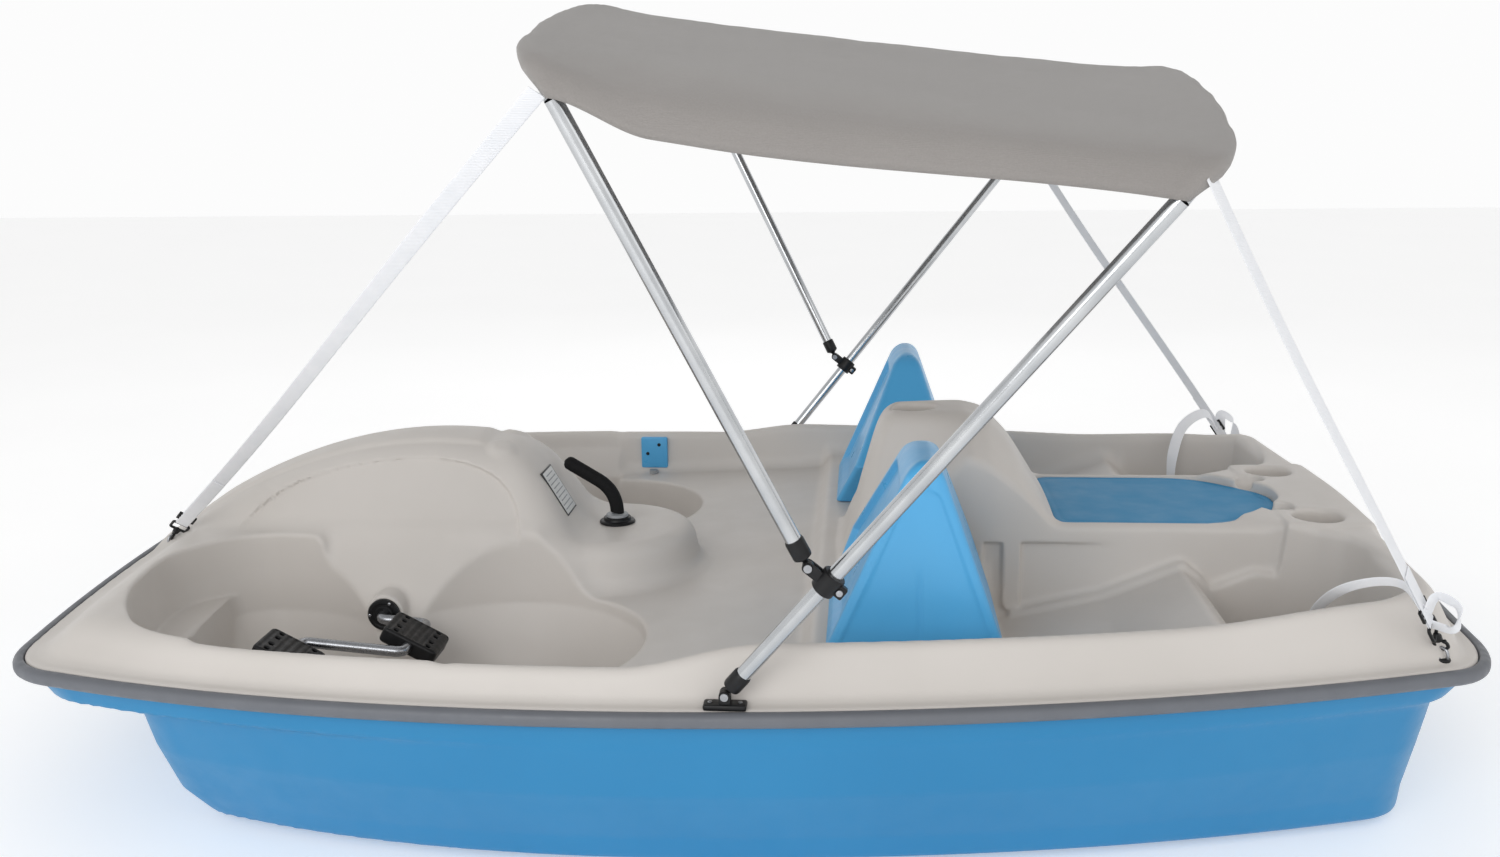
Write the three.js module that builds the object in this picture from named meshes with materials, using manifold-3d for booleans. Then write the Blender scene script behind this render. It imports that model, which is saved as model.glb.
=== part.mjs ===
// A five-seat pedal boat with a folding canopy: hull and deck mouldings, a crank-driven paddle wheel, a hand rudder,
// two sliding seat-backs, a cooler lid and two aluminium canopy bows.
// Millimetres. +X is the bow, +Y is port, +Z is up; the origin is under the middle of the hull, on its flat bottom.
import * as THREE from 'three';
import { mergeVertices } from 'three/addons/utils/BufferGeometryUtils.js';
import Module from 'manifold-3d';

const wasm = await Module();
wasm.setup();

// ---------------------------------------------------------------- driving dimensions
const HALF_LENGTH = 1174.5;
const HALF_BEAM = 826;
const WALL = 5;                    // wall of every moulded shell
const GAP = 0.3;                   // clearance kept between touching pieces
const SHEER_Z = 293;               // top of the joint between hull and deck
const RAIL = { depth: 16, top: 294, bottom: 271 };
const DECK_EDGE_Z = 279;           // deck skirt ends here, inside the rail
const FLOOR_Z = 50;                // fore footwell floor
const COAMING = { foreInset: 66, bowExtra: 54, aftInset: 90, foreZ: 345, aftZ: 373, sternZ: 392 };
const HUMP = { x: 600, top: 504, fall: 0.00065, crest: 55, shoulder: 95, slope: 1.6, foot: 150 };
const WHEEL = { x: 650, z: 230, radius: 186, halfWidth: 92, blades: 6 };
const HOUSING = { radius: 204, halfWidth: 104 };
const TUNNEL = { floorHalf: 182, roofHalf: 160, roof: 190 };
const CRANK = { throw: 85, rod: 9, phase: THREE.MathUtils.degToRad(5) };
const WELL_WALL_Y = 271;           // inboard wall of the fore footwells
const HUB_Y = 270;                 // outer face of the crank bosses on the hump's flanks
const PEDAL = { length: 100, width: 84, thick: 28, tilt: THREE.MathUtils.degToRad(-28) };
const PEDAL_Y = { inner: 368, outer: 496 };
const LEVER_STEPS = 18;
const STEER = { x: 275, deck: 325, rod: 8, grip: 13 };
const SEAT = { base: 296, top: 590, foreX: -140, aftX: -412, ridgeX: -288, inner: 206, outer: 588 };
const LID = { foreX: -536, aftX: -952, half: 165, z: 372, thick: 8 };
const TUBE = 11;                   // canopy bow tube radius
const BOW_HINGE = { x: -10, y: 794, z: 314 };
const MAIN_TOP = new THREE.Vector3(-557, 930, 986);
const SECOND_TOP = new THREE.Vector3(169, 912, 1108);
const MAIN_CROWN = 208;            // crown height above the leg's top, in the bow's plane
const SECOND_CROWN = 172;
const JAW_ALONG = 0.26;            // how far up the main bow leg the jaw slide sits
const JAW_OFFSET = 34;             // pivot of the second bow ahead of the main bow's tube
const FABRIC = { clear: 5, thick: 4, overhang: 24, flap: 22, skirt: 28, dip: 26, sag: 8 };
const LEG_GAP = 4;                 // legs stop short of the crowns, inside the hem
const OUTLINE_STEP = 350;          // spacing of the points round the plan outline
const CROWN_STEPS = 20;
const SCOOP_SIDES = 16;
const SIDES = 12;

const COLOURS = {
  hull: ['#2f85bd', 0.42, 0],
  seat: ['#3b9bd6', 0.45, 0],
  deck: ['#d6cfc8', 0.6, 0],
  rail: ['#80828a', 0.7, 0],
  black: ['#17181a', 0.55, 0],
  tube: ['#c9ccd0', 0.28, 0.9],
  steel: ['#9a9da1', 0.35, 0.9],
  fabric: ['#96938f', 0.9, 0],
  strap: ['#e9eaec', 0.85, 0],
  grey: ['#9fa3a6', 0.6, 0],
  label: ['#dfe1e2', 0.6, 0],
  foam: ['#eef0ee', 0.95, 0],
};

const boat = new THREE.Group();

function add(name, shape, colour) {
  const [color, roughness, metalness] = COLOURS[colour];
  const geometry = shape.isBufferGeometry ? shape : toGeometry(shape);
  const mesh = new THREE.Mesh(geometry, new THREE.MeshStandardMaterial({ color, roughness, metalness }));
  mesh.name = name;
  boat.add(mesh);
}

function addPair(name, build, colour) {
  add(`${name}_port`, build(1), colour);
  add(`${name}_starboard`, build(-1), colour);
}

// ---------------------------------------------------------------- solids
function toSolid(geometry) {
  if (!geometry.isBufferGeometry) return geometry;
  const bare = geometry.clone();
  bare.deleteAttribute('normal');
  bare.deleteAttribute('uv');
  const merged = mergeVertices(bare, 1e-3);
  const mesh = new wasm.Mesh({
    numProp: 3,
    vertProperties: new Float32Array(merged.attributes.position.array),
    triVerts: new Uint32Array(merged.index.array),
  });
  return new wasm.Manifold(mesh);
}

function toGeometry(solid) {
  const mesh = solid.getMesh();
  const geometry = new THREE.BufferGeometry();
  geometry.setAttribute('position', new THREE.BufferAttribute(mesh.vertProperties, 3));
  geometry.setIndex(new THREE.BufferAttribute(mesh.triVerts, 1));
  return geometry;
}

const join = (...parts) => parts.map(toSolid).reduce((a, b) => a.add(b));
const cut = (body, ...tools) => tools.map(toSolid).reduce((a, b) => a.subtract(b), toSolid(body));
const common = (a, b) => toSolid(a).intersect(toSolid(b));

function signedVolume(points, faces) {
  return faces.reduce((sum, [a, b, c]) => {
    const cross = new THREE.Vector3().crossVectors(points[b], points[c]);
    return sum + points[a].dot(cross) / 6;
  }, 0);
}

// Triangles that fill a closed ring, wound the way the ring runs.
function capFaces(ring) {
  const normal = new THREE.Vector3();
  ring.forEach((p, i) => normal.add(new THREE.Vector3().crossVectors(p, ring[(i + 1) % ring.length])));
  const size = [Math.abs(normal.x), Math.abs(normal.y), Math.abs(normal.z)];
  const axis = size.indexOf(Math.max(...size));
  const flatten = (p) => new THREE.Vector2(...[[p.y, p.z], [p.z, p.x], [p.x, p.y]][axis]);
  const flat = ring.map(flatten);
  const turn = Math.sign(THREE.ShapeUtils.area(flat));
  return THREE.ShapeUtils.triangulateShape(flat, []).map(([a, b, c]) => {
    const same = Math.sign(THREE.ShapeUtils.area([flat[a], flat[b], flat[c]])) === turn;
    return same ? [a, b, c] : [a, c, b];
  });
}

// A closed body through rings of equal length; capped at both ends, or joined end to end when it is looped.
function loft(rings, looped = false) {
  const count = rings[0].length;
  const points = rings.flat();
  const faces = [];
  const spans = looped ? rings.length : rings.length - 1;
  for (let r = 0; r < spans; r += 1) {
    const low = r * count;
    const high = ((r + 1) % rings.length) * count;
    for (let i = 0; i < count; i += 1) {
      const next = (i + 1) % count;
      faces.push([low + i, low + next, high + next], [low + i, high + next, high + i]);
    }
  }
  if (!looped) {
    const last = points.length - count;
    capFaces(rings[0]).forEach(([a, b, c]) => faces.push([a, c, b]));
    capFaces(rings[rings.length - 1]).forEach((face) => faces.push(face.map((i) => i + last)));
  }
  const outward = signedVolume(points, faces) > 0 ? faces : faces.map(([a, b, c]) => [a, c, b]);
  const geometry = new THREE.BufferGeometry().setFromPoints(points);
  geometry.setIndex(outward.flat());
  return geometry;
}

const v3 = (x, y, z) => new THREE.Vector3(x, y, z);

function box(low, high) {
  const size = high.clone().sub(low);
  const geometry = new THREE.BoxGeometry(size.x, size.y, size.z);
  const middle = low.clone().add(high).multiplyScalar(0.5);
  return geometry.translate(middle.x, middle.y, middle.z);
}

function rod(from, to, radius, sides = SIDES) {
  const along = to.clone().sub(from);
  const geometry = new THREE.CylinderGeometry(radius, radius, along.length(), sides);
  geometry.applyQuaternion(new THREE.Quaternion().setFromUnitVectors(v3(0, 1, 0), along.clone().normalize()));
  const middle = from.clone().add(to).multiplyScalar(0.5);
  return geometry.translate(middle.x, middle.y, middle.z);
}

function polygon(radius, sides = SIDES) {
  const points = [];
  for (let i = 0; i < sides; i += 1) {
    const angle = (i / sides) * 2 * Math.PI;
    points.push(new THREE.Vector2(radius * Math.cos(angle), radius * Math.sin(angle)));
  }
  return new THREE.Shape(points);
}

const sweep = (curve, shape, steps) =>
  new THREE.ExtrudeGeometry(shape, { steps, extrudePath: curve, bevelEnabled: false });

// A path of straight runs joined by rounded corners.
function roundedPath(points, radius) {
  const path = new THREE.CurvePath();
  let start = points[0];
  for (let i = 1; i < points.length - 1; i += 1) {
    const corner = points[i];
    const before = corner.clone().add(points[i - 1].clone().sub(corner).setLength(radius));
    const after = corner.clone().add(points[i + 1].clone().sub(corner).setLength(radius));
    path.add(new THREE.LineCurve3(start, before));
    path.add(new THREE.QuadraticBezierCurve3(before, corner, after));
    start = after;
  }
  path.add(new THREE.LineCurve3(start, points[points.length - 1]));
  return path;
}

// ---------------------------------------------------------------- plan outline
const ease = (from, to, x) => {
  const t = THREE.MathUtils.clamp((x - from) / (to - from), 0, 1);
  return t * t * (3 - 2 * t);
};

function portOutline() {
  const shape = new THREE.Path();
  shape.moveTo(HALF_LENGTH, 0);
  shape.quadraticCurveTo(1165, 300, 1118, 590);
  shape.quadraticCurveTo(1104, 706, 1000, 727);
  shape.bezierCurveTo(480, 881, -330, 869, -1060, 617);
  shape.quadraticCurveTo(-1128, 592, -1138, 480);
  shape.quadraticCurveTo(-1150, 200, -HALF_LENGTH, 0);
  const runs = shape.curves.map((curve) => curve.getPoints(Math.round(curve.getLength() / OUTLINE_STEP) + 2));
  return [runs[0][0], ...runs.flatMap((run) => run.slice(1))];
}

const PORT = portOutline();
const OUTLINE = [...PORT, ...PORT.slice(1, -1).reverse().map((p) => new THREE.Vector2(p.x, -p.y))];

// The outline scaled to another bow, stern and half beam, at height z; each may be a function of x.
function planRing(bow, stern, halfBeam, z) {
  return OUTLINE.map((p) => {
    const x = p.x * (p.x > 0 ? bow : stern) / HALF_LENGTH;
    const half = typeof halfBeam === 'function' ? halfBeam(p.x) : halfBeam;
    const height = typeof z === 'function' ? z(p.x) : z;
    return v3(x, p.y * half / HALF_BEAM, height);
  });
}

const insetRing = (inset, z) => {
  const at = (x) => (typeof inset === 'function' ? inset(x) : inset);
  return planRing(HALF_LENGTH - at(HALF_LENGTH), HALF_LENGTH - at(-HALF_LENGTH), (x) => HALF_BEAM - at(x), z);
};

const amidships = (x) => ease(150, -60, x);
const coamingInset = (x) => THREE.MathUtils.lerp(COAMING.foreInset, COAMING.aftInset, amidships(x))
  + COAMING.bowExtra * ease(700, HALF_LENGTH, x);
const coamingZ = (x) => THREE.MathUtils.lerp(COAMING.foreZ, COAMING.aftZ, amidships(x))
  + (COAMING.sternZ - COAMING.aftZ) * ease(-650, -950, x);

// ---------------------------------------------------------------- hull
function hullBody(t) {
  const rows = [
    [DECK_EDGE_Z - GAP, 1157, 1157, 809],
    [240, 1122, 1120, 808],
    [232, 979, 1098, 807],
    [150, 968, 1083, 795],
    [60, 958, 1083, 717],
    [20, 917, 1083, 715],
    [0, 724, 1078, 683],
  ];
  return loft(rows.map(([z, bow, stern, half], i) => {
    const lift = i === rows.length - 1 ? t : 0;
    const open = i === 0 ? t : 0;
    return planRing(bow - t, stern - t, half - t, z + lift + open);
  }));
}

function tunnelTool(t) {
  const section = [
    [-TUNNEL.floorHalf - t, -40], [TUNNEL.floorHalf + t, -40], [TUNNEL.roofHalf + t, 150],
    [TUNNEL.roofHalf - 30 + t, TUNNEL.roof + t], [-TUNNEL.roofHalf + 30 - t, TUNNEL.roof + t],
    [-TUNNEL.roofHalf - t, 150],
  ];
  const trough = loft([-HALF_LENGTH, HALF_LENGTH].map((x) => section.map(([y, z]) => v3(x, y, z))));
  const side = HOUSING.halfWidth + t;
  const housing = rod(v3(WHEEL.x, -side, WHEEL.z), v3(WHEEL.x, side, WHEEL.z), HOUSING.radius + t, 28);
  return join(trough, housing);
}

function hull() {
  const shell = cut(hullBody(0), hullBody(WALL));
  const tunnelWalls = common(tunnelTool(WALL), join(hullBody(0), tunnelHousingRoom()));
  const axleHole = rod(v3(WHEEL.x, -HUB_Y, WHEEL.z), v3(WHEEL.x, HUB_Y, WHEEL.z), CRANK.rod + 3, 16);
  const postHole = rod(v3(STEER.x, 0, 150), v3(STEER.x, 0, 230), 15.5, 16);
  const drainHole = rod(v3(-1200, PLUG.y, PLUG.z), v3(-1000, PLUG.y, PLUG.z), PLUG.hole, 14);
  return cut(join(shell, tunnelWalls), tunnelTool(0), axleHole, postHole, drainHole);
}

// The wheel housing rises above the hull's own rim, so its walls are kept up to here.
const tunnelHousingRoom = () =>
  box(v3(WHEEL.x - 260, -HOUSING.halfWidth - WALL, 200), v3(WHEEL.x + 260, HOUSING.halfWidth + WALL, 460));

// ---------------------------------------------------------------- deck
function deckSlab(t) {
  const rise = (share) => (x) => THREE.MathUtils.lerp(SHEER_Z, coamingZ(x), share) - t;
  const inward = (share) => (x) => THREE.MathUtils.lerp(44, coamingInset(x), share) + t;
  const edge = RAIL.depth + GAP + t;
  return loft([
    insetRing(edge, -60),
    insetRing(edge, SHEER_Z - t),
    insetRing(inward(0), rise(0.03)),
    insetRing(inward(0.6), rise(0.62)),
    insetRing(inward(0.9), rise(0.93)),
    insetRing((x) => inward(1)(x) + 12, rise(1)),
  ]);
}

// Side view of the cockpit floor from the front of the fore seats to the aft wall.
function cockpitTool(t) {
  const floor = [
    [395 + t, 236], [150, 246], [-100, 268], [-118, 295], [-414, 295], [-424, 215], [-610, 257], [-745, 314],
    [-775, 290], [-840, 110], [-1000, 100], [-1060, 360],
  ];
  const section = [...floor.map(([x, z]) => [x, z - t]), [-1090 - t, 600], [395 + t, 600]];
  const trench = loft([-900, 900].map((y) => section.map(([x, z]) => v3(x, y, z))));
  const limit = loft([
    planRing(HALF_LENGTH, 1000 + t, (x) => HALF_BEAM - coamingInset(x) - 44 + t, 0),
    planRing(HALF_LENGTH, 1042 + t, (x) => HALF_BEAM - coamingInset(x) - 14 + t, 330),
    planRing(HALF_LENGTH, 1052 + t, (x) => HALF_BEAM - coamingInset(x) + t, 480),
  ]);
  return common(trench, limit);
}

const humpHeight = (x) => HUMP.top - HUMP.fall * (x - HUMP.x) ** 2;

function humpBody(t) {
  const stations = [1150, 1060, 960, 860, 760, 680, 600, 520, 440];
  const section = (x, top) => {
    const shoulder = top - 24;
    const foot = HUMP.shoulder + (shoulder + 60) / HUMP.slope;
    return [
      [-foot, -60], [-HUMP.shoulder, shoulder], [-HUMP.crest, top - 3], [0, top],
      [HUMP.crest, top - 3], [HUMP.shoulder, shoulder], [foot, -60],
    ].map(([y, z]) => v3(x, Math.sign(y) * Math.max(Math.abs(y) - t, 0), z > 0 ? z - t : z));
  };
  const rings = stations.map((x) => section(x - t, humpHeight(x)));
  return loft([...rings, section(420 + t, 470), section(335 + t, 325), section(290 + t, 250)]);
}

function platformBody(t) {
  const ring = (radius, z) => {
    const points = [v3(480, -radius, z), v3(480, radius, z)];
    for (let i = 0; i <= 12; i += 1) {
      const angle = Math.PI / 2 + (i / 12) * Math.PI;
      points.push(v3(290 + radius * Math.cos(angle), radius * Math.sin(angle), z));
    }
    return points;
  };
  return loft([ring(210 - t, -60), ring(178 - t, 240), ring(160 - t, STEER.deck - 12 - t), ring(148 - t, STEER.deck - t)]);
}

// Centre console: [x, top, half width at the top, height of its shoulders, half width there].
function consoleBody(t) {
  const stations = [
    [-122, 232, 70, 224, 130], [-150, 285, 66, 277, 140], [-176, 358, 62, 350, 150], [-226, 535, 58, 380, 160],
    [-252, 556, 60, 390, 166], [-330, 558, 74, 450, 178], [-380, 558, 82, 503, 184], [-420, 546, 92, 486, 187],
    [-470, 492, 116, 446, 187], [-532, 392, 150, 384, 187], [-1030, 390, 164, 382, 187],
  ];
  const rings = stations.map(([x, top, halfTop, shoulder, halfDeck]) => {
    const points = [
      [-halfDeck - 26, -60], [-halfDeck, shoulder], [-halfTop, top], [halfTop, top], [halfDeck, shoulder],
      [halfDeck + 26, -60],
    ];
    return points.map(([y, z]) => v3(x, y - Math.sign(y) * t, z > 0 ? z - t : z));
  });
  rings[0] = rings[0].map((p) => v3(p.x - t, p.y, p.z));
  return loft(rings);
}

// Footwells stay inside the hull's sides and the coaming.
const wellLimit = (t) => loft([
  planRing(778 + t, 778, 655 + t, FLOOR_Z - 20),
  planRing(910 + t, 910, 718 + t, 150),
  planRing(940 + t, 940, 744 + t, 230),
  insetRing((x) => coamingInset(x) + 22 - t, 300),
  insetRing((x) => coamingInset(x) - t, 540),
]);

// Straight well along the hump's flank, between the two scoops.
function wellStrip(side, t, wall) {
  const strip = loft([[FLOOR_Z - t, 6], [380, 0], [520, 0]].map(([z, draft]) => {
    const low = wall - t + draft;
    const reach = z > FLOOR_Z + 100 ? 0 : 70;
    const plan = [
      [395 - t, low], [790 - reach, low], [880 - reach, 560], [850 - reach, 640], [740 - reach, 740], [395 - t, 780],
    ];
    return plan.map(([x, y]) => v3(x, side * y, z));
  }));
  return common(strip, wellLimit(t));
}

// Two rounded scoops in the hump's flank, one ahead of the crank and one behind it.
function wellScoops(side, t) {
  const scoop = (rows) => loft(rows.map(([z, x, y, radius]) => {
    const points = [];
    for (let i = 0; i < SCOOP_SIDES; i += 1) {
      const angle = (i / SCOOP_SIDES) * 2 * Math.PI;
      points.push(v3(x + (radius + t) * Math.cos(angle), side * (y + (radius + t) * Math.sin(angle)), z));
    }
    return points;
  }));
  const fore = scoop([
    [FLOOR_Z - t, 712, 440, 92], [150, 748, 440, 138], [235, 766, 440, 150], [300, 808, 440, 178],
    [350, 850, 440, 202], [520, 850, 440, 206],
  ]);
  const aft = scoop([[FLOOR_Z - t, 410, 470, 222], [300, 398, 458, 258], [520, 395, 455, 268]]);
  return common(join(fore, aft), wellLimit(t));
}

function cupTool(x, y, z, radius, depth, t) {
  return rod(v3(x, y, z - depth - t), v3(x, y, z + 60), radius + t, 16);
}

function coolerTools(t) {
  const recess = (grow, low, foreX, aftX) => {
    const half = LID.half + grow;
    const points = [
      [foreX + grow, -half], [foreX + grow, half], [aftX + 110, half], [aftX + 60, half - 26],
      [aftX - grow, half - 120], [aftX - grow, -half + 120], [aftX + 60, -half + 26], [aftX + 110, -half],
    ];
    return loft([low, 600].map((z) => points.map(([x, y]) => v3(x, y, z))));
  };
  const cavity = recess(t - 22, 218 - t, LID.foreX, LID.aftX);
  return [recess(1 + t, LID.z - GAP - t, LID.foreX, LID.aftX), cavity];
}

function deckBody(t) {
  const both = (tool) => [1, -1].map(tool);
  const ground = cut(deckSlab(t), cockpitTool(t), ...both((side) => wellStrip(side, t, HUMP.foot)));
  const raised = join(ground, humpBody(t), platformBody(t), consoleBody(t));
  const bosses = both((side) =>
    rod(v3(WHEEL.x, side * 120, WHEEL.z), v3(WHEEL.x, side * (HUB_Y - t), WHEEL.z), 34 - t, 20));
  const wells = both((side) => join(wellScoops(side, t), wellStrip(side, t, WELL_WALL_Y)));
  const cups = [
    ...both((side) => cupTool(-1000, side * 171, 400, 42, 62, t)),
    cupTool(-290, 0, 560, 40, 46, t),
  ];
  return join(cut(raised, ...wells, ...cups, ...coolerTools(t)), ...bosses);
}

function deck() {
  const outside = loft([insetRing(-30, -80), insetRing(-30, DECK_EDGE_Z)]);
  const inside = loft([insetRing(40, -90), insetRing(40, DECK_EDGE_Z + 10)]);
  const shell = cut(deckBody(0), deckBody(WALL), cut(outside, inside));
  const belowFloor = box(v3(-1300, -900, -100), v3(1300, 900, FLOOR_Z - WALL));
  const bearingHole = rod(v3(WHEEL.x, -300, WHEEL.z), v3(WHEEL.x, 300, WHEEL.z), 15, 16);
  const postHole = rod(v3(STEER.x, 0, 240), v3(STEER.x, 0, 400), 15.5, 16);
  return cut(shell, cut(belowFloor, tunnelTool(WALL + 1)), bearingHole, postHole);
}

// The deck's solid form grown by the gap: pieces that rest on the deck are trimmed with it.
let grownDeck = null;
function clearOfDeck() {
  grownDeck = grownDeck ?? deckBody(-GAP);
  return grownDeck;
}

// ---------------------------------------------------------------- rub rail
function rubRail() {
  const profile = [
    [RAIL.depth, RAIL.top - 2], [RAIL.depth, RAIL.bottom + 2], [12, RAIL.bottom], [5, RAIL.bottom + 3],
    [0, RAIL.bottom + 8], [0, RAIL.top - 8], [5, RAIL.top - 2], [11, RAIL.top],
  ];
  return loft(profile.map(([inset, z]) => insetRing(inset, z)), true);
}

// ---------------------------------------------------------------- seat-backs and cooler lid
// A hollow wedge, open underneath; its inboard foot is cut back to clear the flare of the console.
function seatBack(side) {
  const ring = (t, z, fore, aft, inner, outer) => {
    const chamfer = 14;
    return [
      [fore - t, inner + chamfer], [fore - chamfer, inner + t], [aft + chamfer, inner + t], [aft + t, inner + chamfer],
      [aft + t, outer - chamfer], [aft + chamfer, outer - t], [fore - chamfer, outer - t], [fore - t, outer - chamfer],
    ].map(([x, y]) => v3(x, side * y, z));
  };
  const { base, top, foreX, aftX, ridgeX, inner, outer } = SEAT;
  const wedge = (t) => loft([
    ring(t, base - (t > 0 ? 10 : 0), foreX, aftX, inner + 62, outer),
    ring(t, base + 90, foreX - 34, aftX + 34, inner, outer - 2),
    ring(t, top - 44 - t, ridgeX + 44, ridgeX - 42, inner + 150, outer - 5),
    ring(t, top - 16 - t, ridgeX + 34, ridgeX - 32, inner + 178, outer - 12),
    ring(t, top - t, ridgeX + 20, ridgeX - 18, inner + 200, outer - 30),
  ]);
  return cut(wedge(0), wedge(WALL));
}

function coolerLid() {
  const { foreX, aftX, half, z, thick } = LID;
  const plan = [
    [foreX, -half + 30], [foreX, half - 30], [foreX - 30, half], [aftX + 110, half], [aftX + 60, half - 27],
    [aftX, half - 121], [aftX, -half + 121], [aftX + 60, -half + 27], [aftX + 110, -half], [foreX - 30, -half],
  ];
  const plate = loft([z, z + thick].map((height) => plan.map(([x, y]) => v3(x, y, height))));
  const lip = (half - 22) - 8;
  const plug = box(v3(aftX + 80, -lip + 30, z - 24), v3(foreX - 36, lip - 30, z + 2));
  return join(plate, plug);
}

// ---------------------------------------------------------------- steering
const leverPath = () => roundedPath([
  v3(STEER.x, 0, 152), v3(STEER.x, 0, 388), v3(STEER.x + 96, 0, 446),
], 34);

const gripPath = () => roundedPath([
  v3(STEER.x, 0, 352), v3(STEER.x, 0, 388), v3(STEER.x + 98, 0, 447.2),
], 34);

const steeringLever = () => sweep(leverPath(), polygon(STEER.rod, 10), LEVER_STEPS);

const steeringGrip = () => cut(
  sweep(gripPath(), polygon(STEER.grip, 10), 12),
  sweep(leverPath(), polygon(STEER.rod + GAP, 10), LEVER_STEPS),
);

const collar = (low, high, radius) =>
  rod(v3(STEER.x, 0, low), v3(STEER.x, 0, high), radius, 20);

const steeringBore = () => collar(100, 500, STEER.rod + 0.6);

const steeringFlange = () => cut(
  join(collar(290, 330, 15), collar(STEER.deck + GAP, 331, 34), collar(330, 337, 26)),
  steeringBore(),
);

const steeringWasher = () => cut(collar(337 + GAP, 343, 21), steeringBore());

const rudderBush = () => cut(
  join(collar(186, 215, 15), collar(TUNNEL.roof + WALL + GAP, 201, 26)),
  steeringBore(),
);

function rudderBlade() {
  const outline = [[46, 176], [46, 60], [20, 30], [-130, 22], [-158, 60], [-158, 176]];
  const blade = loft([-7, 7].map((y) => outline.map(([x, z]) => v3(STEER.x + x, y, z))));
  const socket = collar(120, 182, 16);
  return cut(join(blade, socket), collar(150, 500, STEER.rod + GAP));
}

// ---------------------------------------------------------------- paddle wheel and cranks
const axleX = WHEEL.x;
const axleZ = WHEEL.z;
const onAxle = (y, radius = 0, angle = 0) =>
  v3(axleX + radius * Math.cos(angle), y, axleZ + radius * Math.sin(angle));

function paddleWheel() {
  const { radius, halfWidth, blades } = WHEEL;
  const hub = rod(onAxle(-halfWidth), onAxle(halfWidth), 32, 14);
  const discs = [-58, 58].map((y) => rod(onAxle(y - 4), onAxle(y + 4), 92, 18));
  const paddles = [];
  for (let i = 0; i < blades; i += 1) {
    const angle = (i / blades) * 2 * Math.PI;
    const paddle = box(v3(20, -halfWidth, -5), v3(radius, halfWidth, 5));
    paddle.rotateY(-angle).translate(axleX, 0, axleZ);
    paddles.push(paddle);
  }
  return cut(join(hub, ...discs, ...paddles), rod(onAxle(-HUB_Y), onAxle(HUB_Y), CRANK.rod + GAP, 16));
}

// One bent rod a side: from the wheel's middle out to the inner pedal, then across the axis to the outer one.
const outerPin = (side, y) => onAxle(side * y, CRANK.throw, CRANK.phase);
const innerPin = (side, y) => onAxle(side * y, CRANK.throw, CRANK.phase + Math.PI);

function crank(side) {
  const crossing = (PEDAL_Y.inner + PEDAL_Y.outer) / 2;
  const path = roundedPath([
    onAxle(side * 1), onAxle(side * 296), innerPin(side, 296), innerPin(side, crossing), outerPin(side, crossing),
    outerPin(side, PEDAL_Y.outer + PEDAL.width / 2 + 14),
  ], 14);
  return sweep(path, polygon(CRANK.rod, 8), 40);
}

function crankBearing(side) {
  const at = (y) => onAxle(side * y);
  const bearing = join(rod(at(240), at(HUB_Y + 2), 14.5, 16), rod(at(HUB_Y + GAP), at(HUB_Y + 10), 29, 20));
  return cut(bearing, rod(at(200), at(300), CRANK.rod + 1.2, 16));
}

function pedal(pin, side, y) {
  const { length, width, thick, tilt } = PEDAL;
  const block = new THREE.BoxGeometry(length, width, thick);
  block.rotateY(tilt);
  const middle = pin(side, y);
  block.translate(middle.x, middle.y, middle.z);
  return cut(block, rod(pin(side, y - 80), pin(side, y + 80), CRANK.rod + 0.8, 16));
}

// ---------------------------------------------------------------- canopy bows
const mirrored = (point, side) => v3(point.x, side * point.y, point.z);
const hinge = (side) => v3(BOW_HINGE.x, side * BOW_HINGE.y, BOW_HINGE.z);
const alongMain = (side, share) => hinge(side).lerp(mirrored(MAIN_TOP, side), share);
const mainRise = v3(MAIN_TOP.x - BOW_HINGE.x, 0, MAIN_TOP.z - BOW_HINGE.z).normalize();
const aheadOfMain = v3(mainRise.z, 0, -mainRise.x);
const jawPivot = (side) => alongMain(side, JAW_ALONG).addScaledVector(aheadOfMain, JAW_OFFSET);
const alongSecond = (side, share) => jawPivot(side).lerp(mirrored(SECOND_TOP, side), share);
const secondRise = SECOND_TOP.clone().sub(jawPivot(1)).setY(0).normalize();

// Crown of a bow: an arch in the plane of its legs, from one leg's top to the other's.
function crownCurve(top, rise, crown) {
  const shape = [[1, 0], [0.99, 0.2], [0.95, 0.33], [0.84, 0.46], [0.68, 0.62], [0.5, 0.76], [0.27, 0.91]];
  const half = shape.map(([across, up]) => top.clone().setY(across * top.y).addScaledVector(rise, up * crown));
  const middle = top.clone().setY(0).addScaledVector(rise, crown);
  const far = half.map((p) => v3(p.x, -p.y, p.z)).reverse();
  return new THREE.CatmullRomCurve3([...half, middle, ...far], false, 'centripetal');
}

const mainCrown = () => crownCurve(MAIN_TOP, mainRise, MAIN_CROWN);
const secondCrown = () => crownCurve(SECOND_TOP, secondRise, SECOND_CROWN);

function shortened(from, to, before, after) {
  const along = to.clone().sub(from).normalize();
  return [from.clone().addScaledVector(along, before), to.clone().addScaledVector(along, -after)];
}

function mainLeg(side) {
  const [low, high] = shortened(hinge(side), mirrored(MAIN_TOP, side), 34, LEG_GAP);
  return rod(low, high, TUBE);
}

function secondLeg(side) {
  const [low, high] = shortened(jawPivot(side), mirrored(SECOND_TOP, side), 34, LEG_GAP);
  return rod(low, high, TUBE);
}

const crownTube = (curve) => sweep(curve, polygon(TUBE, 8), CROWN_STEPS);

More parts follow.
